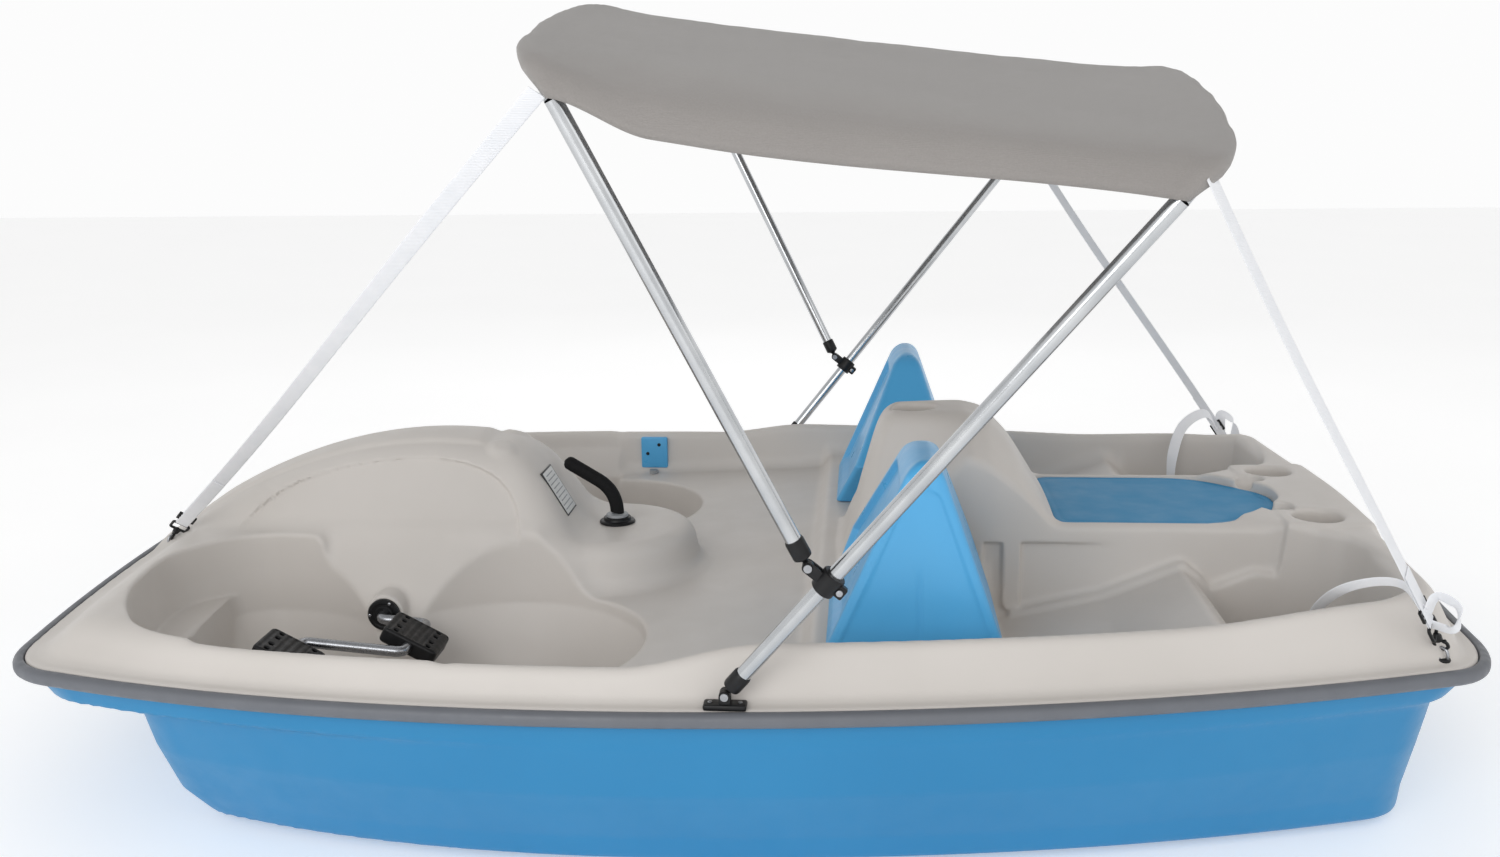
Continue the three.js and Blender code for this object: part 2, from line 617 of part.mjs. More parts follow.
// Black end fitting: a sleeve-sized plug on the tube's end, flattened to a tongue around the pivot.
function bowFoot(side, pivot, top) {
  const [low, high] = shortened(pivot, top, 14, 0);
  const along = high.clone().sub(low).normalize();
  const plug = rod(low, low.clone().addScaledVector(along, 20 - GAP), TUBE + 1, 12);
  const tongue = pinRod(pivot, 8, 4.5);
  const neck = rod(pivot, low.clone().addScaledVector(along, 4), 3.5, 8);
  return cut(join(plug, tongue, neck), pinRod(pivot, 3.6, 30));
}

// Deck hinge: a base plate shaped to the gunwale, with two cheeks either side of the foot's tongue.
function deckHinge(side) {
  const at = hinge(side);
  const base = box(v3(at.x - 30, at.y - 12, RAIL.top + GAP), v3(at.x + 30, at.y + 12, at.z - 9));
  const cheeks = [-1, 1].map((way) => {
    const near = at.y + way * 5.2;
    const far = at.y + way * 9;
    const post = box(v3(at.x - 8, Math.min(near, far), at.z - 12), v3(at.x + 8, Math.max(near, far), at.z));
    return join(rod(v3(at.x, near, at.z), v3(at.x, far, at.z), 8, 14), post);
  });
  return cut(join(base, ...cheeks), pinRod(at, 3.6, 30), clearOfDeck());
}

const pinRod = (at, radius, half) =>
  rod(at.clone().add(v3(0, -half, 0)), at.clone().add(v3(0, half, 0)), radius, 12);

const hingePin = (side) => pinRod(hinge(side), 3, 12);

// Jaw slide: a ring clamped round the main bow's leg, with two cheeks that hold the second bow's tongue.
function jawSlide(side) {
  const middle = alongMain(side, JAW_ALONG);
  const along = mirrored(MAIN_TOP, side).sub(hinge(side)).normalize();
  const ring = rod(middle.clone().addScaledVector(along, -15), middle.clone().addScaledVector(along, 15), 17, 14);
  const pivot = jawPivot(side);
  const cheeks = [-1, 1].map((way) => {
    const near = (point) => point.clone().add(v3(0, way * 5.2, 0));
    const far = (point) => point.clone().add(v3(0, way * 9.2, 0));
    const root = middle.clone().addScaledVector(aheadOfMain, 6);
    return join(rod(near(pivot), far(pivot), 8, 14), barBetween(root, pivot, way));
  });
  const leg = rod(hinge(side), mirrored(MAIN_TOP, side), TUBE + GAP);
  return cut(join(ring, ...cheeks), leg, pinRod(pivot, 3.6, 30), tongueRoom(side));
}

function barBetween(from, to, way) {
  const across = mainRise.clone().multiplyScalar(8);
  const ends = [from, to].map((p) => {
    const corners = [[-1, 5.2], [1, 5.2], [1, 9.2], [-1, 9.2]];
    return corners.map(([sign, y]) => p.clone().addScaledVector(across, sign).add(v3(0, way * y, 0)));
  });
  return loft(ends);
}

// Room for the tongue between the jaw's cheeks.
const tongueRoom = (side) => pinRod(jawPivot(side), 12, 5.2);

const jawScrew = (side) => pinRod(jawPivot(side), 3, 12);

// ---------------------------------------------------------------- canopy fabric
// A closed cover over both crowns: its section runs fore and aft, and stations run from hem to hem.
function bowStations(top, foot, rise, crown) {
  const hem = top.clone().add(foot.clone().sub(top).setLength(FABRIC.skirt));
  const points = [hem, ...crown.getSpacedPoints(CROWN_STEPS), mirrored(hem, -1)];
  const normal = v3(0, 1, 0).cross(rise);
  const outward = points.map((_, k) => {
    const run = points[Math.min(k + 1, points.length - 1)].clone().sub(points[Math.max(k - 1, 0)]);
    return run.cross(normal).normalize();
  });
  return { points, outward };
}

function canopy() {
  const aft = bowStations(MAIN_TOP, hinge(1), mainRise, mainCrown());
  const fore = bowStations(SECOND_TOP, jawPivot(1), secondRise, secondCrown());
  const near = TUBE + FABRIC.clear;
  const far = near + FABRIC.thick;
  const { overhang, flap, dip, sag, thick } = FABRIC;
  const last = aft.points.length - 1;
  return loft(aft.points.map((start, k) => {
    const end = fore.points[k];
    const along = end.clone().sub(start).normalize();
    const at = (share, run, lift) => {
      const out = aft.outward[k].clone().lerp(fore.outward[k], share).normalize();
      return start.clone().lerp(end, share).addScaledVector(along, run).addScaledVector(out, lift);
    };
    const nearHem = Math.max(0, 1 - Math.min(k, last - k) / 4);
    const middle = (lift) => at(0.5, 0, lift - sag).add(v3(0, 0, -dip * nearHem));
    return [
      at(0, -overhang, -flap), at(0, -overhang, near - 6), at(0, -12, far), at(0, 12, far), middle(far),
      at(1, -12, far), at(1, 12, far), at(1, overhang, near - 6), at(1, overhang, -flap),
      at(1, overhang - thick, -flap), at(1, overhang - thick - 1, near - 8), at(1, 9, near), at(1, -12, near),
      middle(near), at(0, 12, near), at(0, -9, near), at(0, -overhang + thick + 1, near - 8),
      at(0, -overhang + thick, -flap),
    ];
  }));
}

// ---------------------------------------------------------------- straps, hooks and pad eyes
const BOW_EYE = v3(1124, 86, 306);
const STERN_EYE = v3(-1042, 572, 306);
const FORE_CORNER = v3(214, 930, 1084);   // where the fore strap leaves the cover's hem
const AFT_CORNER = v3(-626, 934, 972);
const STRAP = { half: 12.5, thick: 3 };
const HOOK = { reach: 62, ring: 8.5, wire: 2.2, shank: 5, rise: 9, span: 9 };

const sternEye = (side) => mirrored(STERN_EYE, side);
const toward = (from, to) => to.clone().sub(from).normalize();

const eyeCrown = (at) => at.clone().add(v3(0, 0, HOOK.rise));

// Pad eye: a foot plate shaped to the deck under a bent wire that stands across the strap.
function padEye(at, corner) {
  const heading = toward(at, corner);
  const across = v3(-heading.y, heading.x, 0).normalize();
  const bend = [[-1, -1], [-1, 0], [-0.6, 0.75], [0, 1], [0.6, 0.75], [1, 0], [1, -1]].map(([run, rise]) =>
    at.clone().addScaledVector(across, run * HOOK.span).add(v3(0, 0, rise * HOOK.rise)));
  const wire = sweep(new THREE.CatmullRomCurve3(bend), polygon(HOOK.wire, 6), 12);
  const foot = rod(at.clone().add(v3(0, 0, -22)), at.clone().add(v3(0, 0, -6)), 13, 14);
  return cut(join(foot, wire), clearOfDeck());
}

// Snap hook: a ring through the pad eye and a shank up to the strap.
function hook(at, corner) {
  const crown = eyeCrown(at);
  const along = toward(crown, corner);
  const middle = crown.clone().addScaledVector(along, HOOK.ring - 2 * HOOK.wire - GAP);
  const ring = new THREE.TorusGeometry(HOOK.ring, HOOK.wire, 6, 16);
  const facing = v3(-along.y, along.x, 0).normalize();
  ring.applyQuaternion(new THREE.Quaternion().setFromUnitVectors(v3(0, 0, 1), facing));
  ring.translate(middle.x, middle.y, middle.z);
  const start = middle.clone().addScaledVector(along, HOOK.ring);
  return join(ring, rod(start, crown.clone().addScaledVector(along, HOOK.reach), HOOK.shank, 8));
}

function strap(eye, corner) {
  const crown = eyeCrown(eye);
  const along = toward(crown, corner);
  const start = crown.clone().addScaledVector(along, HOOK.reach + GAP);
  const wide = along.clone().cross(v3(0, 1, 0)).normalize().multiplyScalar(STRAP.half);
  const thick = wide.clone().cross(along).normalize().multiplyScalar(STRAP.thick / 2);
  return loft([start, corner].map((p) => [[1, 1], [-1, 1], [-1, -1], [1, -1]].map(([w, n]) =>
    p.clone().addScaledVector(wide, w).addScaledVector(thick, n))));
}

const sternStrap = (side) => strap(sternEye(side), mirrored(AFT_CORNER, side));
const sternHook = (side) => hook(sternEye(side), mirrored(AFT_CORNER, side));
const sternPadEye = (side) => padEye(sternEye(side), mirrored(AFT_CORNER, side));

// ---------------------------------------------------------------- small fittings
const BRACKET = { x: 312, z: 288, width: 64, height: 76 };
const PLATE = { middle: v3(380, 40, 398), width: 75, height: 95, lean: THREE.MathUtils.degToRad(30.4) };
const PLUG = { y: 300, z: 120, hole: 12, flange: 24 };
const FOAM = { aft: -680, fore: -450, inner: 200, outer: 540, bottom: 14, top: 198 };

// Bracket on the starboard coaming's inner face, shaped to it.
function sideBracket() {
  const { x, z, width, height } = BRACKET;
  const block = box(v3(x - width / 2, -752, z - height / 2), v3(x + width / 2, -600, z + height / 2));
  return cut(common(block, deckBody(-6)), clearOfDeck());
}

function bracketStub() {
  const { x, z, height } = BRACKET;
  const low = z - height / 2;
  return cut(rod(v3(x, -716, low - 16), v3(x, -716, low - GAP), 10, 14), clearOfDeck());
}

// Blank information plate stuck to the aft face of the hump.
function infoPlate() {
  const { middle, width, height, lean } = PLATE;
  const block = new THREE.BoxGeometry(40, width, height).rotateY(lean).translate(middle.x, middle.y, middle.z);
  return cut(common(block, deckBody(-GAP - 1.5)), clearOfDeck());
}

// Drain plug through the transom; its flange follows the hull.
function drainPlug() {
  const flange = rod(v3(-1250, PLUG.y, PLUG.z), v3(-1000, PLUG.y, PLUG.z), PLUG.flange, 18);
  const outside = cut(common(flange, hullBody(-5)), hullBody(-GAP));
  const stem = rod(v3(-1100, PLUG.y, PLUG.z), v3(-1050, PLUG.y, PLUG.z), PLUG.hole - GAP, 14);
  return join(outside, common(stem, hullBody(-3)));
}

function foamBlock(side) {
  const { aft, fore, inner, outer, bottom, top } = FOAM;
  return box(
    v3(aft, Math.min(side * inner, side * outer), bottom),
    v3(fore, Math.max(side * inner, side * outer), top),
  );
}

boat.name = 'pedal_boat';
add('hull', hull(), 'hull');
add('deck', deck(), 'deck');
add('rub_rail', rubRail(), 'rail');
addPair('seat_back', seatBack, 'seat');
add('cooler_lid', coolerLid(), 'hull');
add('steering_lever', steeringLever(), 'steel');
add('steering_grip', steeringGrip(), 'black');
add('steering_flange', steeringFlange(), 'black');
add('steering_washer', steeringWasher(), 'grey');
add('rudder_bush', rudderBush(), 'black');
add('rudder_blade', rudderBlade(), 'black');
add('paddle_wheel', paddleWheel(), 'black');
addPair('crank', crank, 'steel');
addPair('crank_bearing', crankBearing, 'black');
addPair('inner_pedal', (side) => pedal(innerPin, side, PEDAL_Y.inner), 'black');
addPair('outer_pedal', (side) => pedal(outerPin, side, PEDAL_Y.outer), 'black');
addPair('main_bow_leg', mainLeg, 'tube');
addPair('second_bow_leg', secondLeg, 'tube');
add('main_bow_crown', crownTube(mainCrown()), 'tube');
add('second_bow_crown', crownTube(secondCrown()), 'tube');
addPair('main_bow_foot', (side) => bowFoot(side, hinge(side), mirrored(MAIN_TOP, side)), 'black');
addPair('second_bow_foot', (side) => bowFoot(side, jawPivot(side), mirrored(SECOND_TOP, side)), 'black');
addPair('deck_hinge', deckHinge, 'black');
addPair('hinge_pin', hingePin, 'steel');
addPair('jaw_slide', jawSlide, 'black');
addPair('jaw_screw', jawScrew, 'steel');
add('canopy', canopy(), 'fabric');
add('fore_strap', strap(BOW_EYE, FORE_CORNER), 'strap');
add('fore_hook', hook(BOW_EYE, FORE_CORNER), 'black');
add('bow_pad_eye', padEye(BOW_EYE, FORE_CORNER), 'black');
addPair('aft_strap', sternStrap, 'strap');
addPair('aft_hook', sternHook, 'black');
addPair('stern_pad_eye', sternPadEye, 'black');
add('side_bracket', sideBracket(), 'seat');
add('bracket_stub', bracketStub(), 'grey');
add('info_plate', infoPlate(), 'label');
add('drain_plug', drainPlug(), 'black');
addPair('foam_block', foamBlock, 'foam');

export default boat;
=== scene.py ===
"""Looks of a five-seat pedal boat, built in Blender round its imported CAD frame.

Metres, in the CAD frame: +X is the bow, +Y is port, +Z is up, and the hull stands on z = 0.
The moulded pieces are level sets of smooth fields, so their edges are rounded as a mould rounds them.
"""

import math
from contextlib import contextmanager
from itertools import product

import bmesh
import bpy
import numpy as np
from mathutils import Matrix, Vector


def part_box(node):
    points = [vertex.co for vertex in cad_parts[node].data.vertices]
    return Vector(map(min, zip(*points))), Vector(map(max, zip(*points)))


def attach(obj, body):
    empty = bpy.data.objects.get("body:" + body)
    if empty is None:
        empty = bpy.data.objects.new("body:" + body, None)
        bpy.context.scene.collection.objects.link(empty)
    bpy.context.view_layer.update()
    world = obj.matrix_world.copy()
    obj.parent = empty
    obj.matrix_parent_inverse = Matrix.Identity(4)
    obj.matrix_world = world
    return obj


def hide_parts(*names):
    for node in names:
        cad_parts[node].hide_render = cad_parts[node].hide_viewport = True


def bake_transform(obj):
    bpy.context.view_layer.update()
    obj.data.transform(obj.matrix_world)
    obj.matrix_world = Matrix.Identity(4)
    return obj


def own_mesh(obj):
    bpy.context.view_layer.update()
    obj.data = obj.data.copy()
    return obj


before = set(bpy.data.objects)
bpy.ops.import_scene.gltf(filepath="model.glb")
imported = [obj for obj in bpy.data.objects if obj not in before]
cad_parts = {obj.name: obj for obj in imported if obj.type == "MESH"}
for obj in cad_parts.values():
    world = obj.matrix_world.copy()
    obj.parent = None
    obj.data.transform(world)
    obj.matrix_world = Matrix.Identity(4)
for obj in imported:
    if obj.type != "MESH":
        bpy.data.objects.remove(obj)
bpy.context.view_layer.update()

# ---------------------------------------------------------------- driving dimensions
DECK_EDGE_Z = 0.279
RAIL_DEPTH = 0.016
GAP = 0.0003
FLOOR_Z = 0.05
HUMP_X, HUMP_TOP, HUMP_FALL = 0.6, 0.504, 0.65
SHOULDER_Y, SHOULDER_DROP, FLANK = 0.095, 0.024, 1.6
WHEEL = Vector((0.65, 0, 0.23))
HOUSING_RADIUS, HOUSING_HALF, HOUSING_CUT = 0.204, 0.104, 0.255
WELL_WALL_Y = 0.271
HUB_Y = 0.27
CRANK_THROW, CRANK_RADIUS, CRANK_PHASE = 0.085, 0.009, math.radians(5)
PEDAL_SIZE, PEDAL_TILT = (0.1, 0.084, 0.028), math.radians(-28)
PEDAL_Y = {"inner": 0.368, "outer": 0.496}
STEER_X, STEER_DECK = 0.275, 0.325
LID_Z, LID_THICK, LID_HALF, LID_FORE, LID_AFT = 0.372, 0.008, 0.165, -0.536, -0.952
TUB_FLOOR = 0.218
TUBE = 0.011
BOW_HINGE = Vector((-0.01, 0.794, 0.314))
MAIN_TOP, MAIN_CROWN = Vector((-0.557, 0.93, 0.986)), 0.208
SECOND_TOP, SECOND_CROWN = Vector((0.169, 0.912, 1.108)), 0.172
JAW_ALONG, JAW_OFFSET = 0.26, 0.034
# Cup holders: x, y, rim height, radius and depth; the aft one has a twin to starboard.
CUPS = [(-0.985, 0.158, 0.391, 0.042, 0.062), (-0.29, 0.0, 0.558, 0.04, 0.046)]
SIDES = {"port": 1, "starboard": -1}


# ---------------------------------------------------------------- small maths
def ease(start, end, x):
    t = np.clip((x - start) / (end - start), 0, 1)
    return t * t * (3 - 2 * t)


def lerp(a, b, t):
    return a + (b - a) * t


def smooth_min(a, b, radius):
    h = np.maximum(radius - np.abs(a - b), 0) / radius
    return np.minimum(a, b) - h * h * radius / 4


def smooth_max(a, b, radius):
    return -smooth_min(-a, -b, radius)


def rounded(points, spread, step=0.001, beyond=0.2):
    """A function of x through (x, value) points, its corners rounded over spread."""
    points = sorted(points)
    xs = np.arange(points[0][0] - beyond, points[-1][0] + beyond, step)
    half = max(1, int(spread / step))
    window = np.hanning(2 * half + 1)
    padded = np.pad(np.interp(xs, *zip(*points)), half, mode="edge")
    smooth = np.convolve(padded, window / window.sum(), mode="valid")
    return lambda x: np.interp(x, xs, smooth)


def slope_of(curve, reach=0.002):
    return lambda x: np.hypot(1, (curve(x + reach) - curve(x - reach)) / (2 * reach))


def mirrored(point, side):
    return Vector((point.x, side * point.y, point.z))


# ---------------------------------------------------------------- mesh makers
X, Y, Z = Vector((1, 0, 0)), Vector((0, 1, 0)), Vector((0, 0, 1))


def link_mesh(name, mesh, material):
    mesh.polygons.foreach_set("use_smooth", [True] * len(mesh.polygons))
    mesh.materials.append(material)
    obj = bpy.data.objects.new(name, mesh)
    bpy.context.collection.objects.link(obj)
    return obj


def make_object(name, vertices, faces, material):
    mesh = bpy.data.meshes.new(name)
    mesh.from_pydata([tuple(v) for v in vertices], [], [tuple(f) for f in faces])
    mesh.validate()
    return link_mesh(name, mesh, material)


def big_object(name, vertices, quads, material):
    """As make_object, for large arrays of quads."""
    mesh = bpy.data.meshes.new(name)
    mesh.vertices.add(len(vertices))
    mesh.vertices.foreach_set("co", vertices.astype(np.float32).ravel())
    mesh.loops.add(quads.size)
    mesh.loops.foreach_set("vertex_index", quads.astype(np.int32).ravel())
    mesh.polygons.add(len(quads))
    mesh.polygons.foreach_set("loop_start", np.arange(0, quads.size, 4, dtype=np.int32))
    mesh.update(calc_edges=True)
    return link_mesh(name, mesh, material)


@contextmanager
def edited(obj):
    """The object's mesh as a bmesh, written back afterwards."""
    mesh = bmesh.new()
    mesh.from_mesh(obj.data)
    yield mesh
    mesh.to_mesh(obj.data)
    mesh.free()


def fix_normals(obj):
    with edited(obj) as mesh:
        bmesh.ops.recalc_face_normals(mesh, faces=mesh.faces)
    return obj


def sharpen(obj, degrees=35):
    """Smooth shading that keeps edges sharper than this."""
    with edited(obj) as mesh:
        for edge in mesh.edges:
            edge.smooth = len(edge.link_faces) == 2 and edge.calc_face_angle(0) < math.radians(degrees)
    return obj


def loft(name, rings, material, looped=False):
    """A skin over rings of equal length, capped at both ends or looped back to the first."""
    count, last = len(rings[0]), len(rings) - 1
    faces = []
    for r in range(last + looped):
        low, high = r * count, (r + 1) % len(rings) * count
        for i in range(count):
            j = (i + 1) % count
            faces.append((low + i, low + j, high + j, high + i))
    if not looped:
        faces += [range(count)[::-1], range(last * count, (last + 1) * count)]
    return fix_normals(make_object(name, [p for ring in rings for p in ring], faces, material))


def apply_modifiers(obj):
    graph = bpy.context.evaluated_depsgraph_get()
    mesh = bpy.data.meshes.new_from_object(obj.evaluated_get(graph))
    obj.modifiers.clear()
    obj.data = mesh
    return obj


def bevel(obj, width, segments=3, degrees=30):
    modifier = obj.modifiers.new("edges", "BEVEL")
    modifier.width, modifier.segments = width, segments
    modifier.limit_method, modifier.angle_limit = "ANGLE", math.radians(degrees)
    return apply_modifiers(obj)


def join(name, objects):
    """One object out of several."""
    with bpy.context.temp_override(active_object=objects[0], selected_editable_objects=objects):
        bpy.ops.object.join()
    objects[0].name = name
    return objects[0]


def frame_along(points):
    """Tangent and two cross directions at each point of a path, turning as little as possible."""
    ahead, behind = [*points[1:], points[-1]], [points[0], *points[:-1]]
    tangents = [(b - a).normalized() for a, b in zip(behind, ahead)]
    side = tangents[0].orthogonal().normalized()
    result = []
    for tangent in tangents:
        side = (side - tangent * side.dot(tangent)).normalized()
        result.append((tangent, side, tangent.cross(side)))
    return result


def turns(count):
    return [2 * math.pi * i / count for i in range(count)]


def ring_round(centre, a, b, radius, sides):
    return [centre + (a * math.cos(t) + b * math.sin(t)) * radius for t in turns(sides)]


def tube(name, points, radius, material, sides=24):
    """A round bar along a path; radius may be one number or one a point."""
    radii = radius if hasattr(radius, "__len__") else [radius] * len(points)
    rings = [ring_round(p, a, b, r, sides) for p, (_, a, b), r in zip(points, frame_along(points), radii)]
    return sharpen(loft(name, rings, material))


def lathe(name, profile, start, axis, material, sides=40):
    """A turned piece: profile is (distance from start along the axis, radius) pairs."""
    along = axis.normalized()
    a = along.orthogonal().normalized()
    b = along.cross(a)
    rings = [ring_round(start + along * run, a, b, radius, sides) for run, radius in profile]
    return sharpen(loft(name, rings, material))


def bent(points, radius, steps=8):
    """A path of straight runs with rounded corners."""
    path = [points[0]]
    for before, corner, after in zip(points, points[1:], points[2:]):
        a = corner + (before - corner).normalized() * radius
        b = corner + (after - corner).normalized() * radius
        for i in range(steps + 1):
            t = i / steps
            path.append(a * (1 - t) ** 2 + corner * 2 * t * (1 - t) + b * t * t)
    return [*path, points[-1]]


def dense(path, step):
    """The path with points no further apart than step."""
    result = [path[0]]
    for a, b in zip(path, path[1:]):
        count = max(1, math.ceil((b - a).length / step))
        result += [a.lerp(b, i / count) for i in range(1, count + 1)]
    return result


def block(name, low, high, material, edge=0.002, segments=2):
    """A box with rounded edges."""
    faces = [(0, 1, 3, 2), (4, 6, 7, 5), (0, 4, 5, 1), (2, 3, 7, 6), (0, 2, 6, 4), (1, 5, 7, 3)]
    obj = fix_normals(make_object(name, product(*zip(low, high)), faces, material))
    return sharpen(bevel(obj, edge, segments))


def finish_piece(obj, body, nodes):
    """Rides the piece on its body, and hides the CAD nodes it stands for."""
    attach(obj, body)
    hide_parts(*nodes)
    return obj


# ---------------------------------------------------------------- level sets
def sampled(field, axes, step, reach=4):
    """The field on a fine grid: worked out near the surface, and kept coarse elsewhere."""
    coarse = field(*np.meshgrid(*[axis[::reach] for axis in axes], indexing="ij", sparse=True))
    kept = tuple(slice(reach // 2, reach // 2 + len(axis)) for axis in axes)

    def widened(array):
        for k in range(3):
            array = np.repeat(array, reach, axis=k)
        return np.pad(array, [(0, reach)] * 3, mode="edge")[kept].copy()

    value = widened(coarse.astype(np.float32))
    i, j, k = np.nonzero(widened(np.abs(coarse) < 3.2 * reach * step))
    value[i, j, k] = field(axes[0][i], axes[1][j], axes[2][k])
    return value


def surface_net(field, low, high, step):
    """Points and quads where field is 0: a point in each crossed cell, a quad on each crossed edge."""
    axes = [np.arange(a, b + step, step, dtype=np.float32) for a, b in zip(low, high)]
    value = sampled(field, axes, step)
    inside = value < 0
    shape = tuple(n - 1 for n in value.shape)
    corners = np.zeros(shape, np.int8)
    for start in product((0, 1), repeat=3):
        corners += inside[tuple(slice(i, i + n) for i, n in zip(start, shape))]
    crossed = (corners > 0) & (corners < 8)
    cells = np.argwhere(crossed)
    index = np.full(shape, -1, np.int64)
    index[crossed] = np.arange(len(cells))
    total, hits = np.zeros((len(cells), 3)), np.zeros(len(cells))
    for axis in range(3):
        unit = np.eye(3, dtype=int)[axis]
        for i, j in product((0, 1), repeat=2):
            offset = np.insert([i, j], axis, 0)
            start = cells + offset
            a, b = value[tuple(start.T)], value[tuple((start + unit).T)]
            cut = (a < 0) != (b < 0)
            share = a[cut] / (a[cut] - b[cut])
            total[cut] += start[cut] + share[:, None] * unit
            hits[cut] += 1
    points = np.array(low) + step * total / hits[:, None]
    quads = []
    for axis in range(3):
        first, second = [k for k in range(3) if k != axis]
        ahead = np.moveaxis(inside, axis, 0)
        change = np.moveaxis(ahead[:-1] != ahead[1:], 0, axis)
        edges = np.argwhere(change)
        edges = edges[(edges[:, first] > 0) & (edges[:, second] > 0)]
        edges = edges[(edges[:, first] < shape[first]) & (edges[:, second] < shape[second])]
        ring = []
        for back in ((0, 0), (-1, 0), (-1, -1), (0, -1)):
            cell = edges.copy()
            cell[:, [first, second]] += back
            ring.append(index[tuple(cell.T)])
        quad = np.stack(ring, axis=1)
        flip = inside[tuple(edges.T)] ^ (axis == 1)
        quad[flip] = quad[flip][:, ::-1]
        quads.append(quad)
    return settle(field, points, step), np.concatenate(quads)


def settle(field, points, step):
    """Moves each point along the field's slope onto its surface."""
    h = step * 0.25
    for _ in range(3):
        value = field(*points.T)
        sides = [(field(*(points + h * axis).T), field(*(points - h * axis).T)) for axis in np.eye(3)]
        slope = np.stack([(ahead - behind) / (2 * h) for ahead, behind in sides], axis=1)
        size = np.maximum((slope ** 2).sum(1), 0.05)
        move = -(value / size)[:, None] * slope
        length = np.linalg.norm(move, axis=1, keepdims=True)
        points = points + move * np.minimum(1, 0.5 * step / np.maximum(length, 1e-9))
    return points


def moulded(name, field, low, high, step, material, keep=None):
    """An object out of a level set; keep(points) says which faces' middles stay."""
    points, quads = surface_net(field, low, high, step)
    if keep is not None:
        quads = quads[keep(points[quads].mean(1))]
        used, quads = np.unique(quads, return_inverse=True)
        points, quads = points[used], quads.reshape(-1, 4)
    return big_object(name, points, quads, material)


# ---------------------------------------------------------------- materials
def srgb(*levels):
    shares = [level / 255 for level in levels]
    return tuple(c / 12.92 if c < 0.0405 else ((c + 0.055) / 1.055) ** 2.4 for c in shares) + (1,)


def map_range(tree, value, *numbers):
    """Maps a value between ranges; numbers are the ends of the old range and of the new one."""
    ramp = tree.nodes.new("ShaderNodeMapRange")
    for socket, number in zip(("From Min", "From Max", "To Min", "To Max"), numbers):
        ramp.inputs[socket].default_value = number
    tree.links.new(value, ramp.inputs["Value"])
    return ramp.outputs["Result"]


class Shader:
    """A Principled material and the nodes that feed it."""

    def __init__(self, name, colour, roughness, metallic=0.0, **sockets):
        self.material = bpy.data.materials.new(name)
        self.material.use_nodes = True
        self.tree = self.material.node_tree
        self.bsdf = self.tree.nodes["Principled BSDF"]
        self.colour, self.roughness = srgb(*colour), roughness
        self.bsdf.inputs["Base Color"].default_value = self.colour
        self.bsdf.inputs["Roughness"].default_value = roughness
        self.bsdf.inputs["Metallic"].default_value = metallic
        for socket, value in sockets.items():
            self.bsdf.inputs[socket.replace("_", " ")].default_value = value
        self.height = None

    def link(self, source, target):
        self.tree.links.new(source, target)

    def node(self, kind, **settings):
        made = self.tree.nodes.new(f"ShaderNode{kind}")
        for key, value in settings.items():
            socket = key.replace("_", " ")
            if socket in made.inputs:
                made.inputs[socket].default_value = value
            else:
                setattr(made, key, value)
        return made

    def texture(self, kind, stretch=(1, 1, 1), **settings):
        """A texture node laid out in the object's own metres."""
        made, mapping = self.node(kind, **settings), self.node("Mapping", Scale=stretch)
        self.link(self.node("TexCoord").outputs["Object"], mapping.inputs["Vector"])
        self.link(mapping.outputs["Vector"], made.inputs["Vector"])
        return made.outputs

    def noise(self, scale, detail, stretch=(1, 1, 1)):
        return self.texture("TexNoise", stretch, Scale=scale, Detail=detail)["Fac"]

    def spread(self, value, low, high):
        """Stretches the middle of a noise to a range."""
        return map_range(self.tree, value, 0.3, 0.7, low, high)

    def vary_colour(self, value, other, share):
        """Mixes the colour so far with another one, by value, up to a share."""
        mix = self.node("Mix", data_type="RGBA")
        mix.inputs["A"].default_value, mix.inputs["B"].default_value = self.colour, srgb(*other)
        target = self.bsdf.inputs["Base Color"]
        if target.is_linked:
            self.link(target.links[0].from_socket, mix.inputs["A"])
        self.link(self.spread(value, 0.0, share), mix.inputs["Factor"])
        self.link(mix.outputs["Result"], target)

    def vary_roughness(self, value, amount):
        spread = self.spread(value, self.roughness - amount, self.roughness + amount)
        self.link(spread, self.bsdf.inputs["Roughness"])

    def raise_by(self, value, height):
        """Adds a bump of this height, in metres."""
        bump = self.node("Bump", Distance=height, Strength=1.0)
        self.link(value, bump.inputs["Height"])
        if self.height is not None:
            self.link(self.height, bump.inputs["Normal"])
        self.height = bump.outputs["Normal"]
        self.link(self.height, self.bsdf.inputs["Normal"])


def cloudy(name, colour, other, roughness, cloud, patches=None, bumps=(), **sockets):
    """Cloudy colour, patchy roughness and bumps; a noise is (scale, detail, how much it does)."""
    shader = Shader(name, colour, roughness, **sockets)
    *cloud, share = cloud
    shader.vary_colour(shader.noise(*cloud), other, share)
    if patches:
        *noise, amount = patches
        shader.vary_roughness(shader.noise(*noise), amount)
    for *noise, height in bumps:
        shader.raise_by(shader.noise(*noise), height)
    return shader


def moulded_plastic(name, colour, darker, roughness):
    """Rotationally moulded polyethylene: cloudy tone, slow waviness of the wall, fine leathery grain."""
    wall_and_grain = [(5, 2, 0.0011), (650, 3, 0.00012)]
    return cloudy(f"{name}_polyethylene", colour, darker, roughness, (3.5, 3, 0.55), (22, 5, 0.07),
                  wall_and_grain, Specular_IOR_Level=0.42).material


def black_nylon():
    return cloudy("black_nylon", (13, 13, 15), (27, 28, 30), 0.42, (60, 4, 0.6), (90, 4, 0.1),
                  [(900, 3, 0.0001)], Specular_IOR_Level=0.32).material


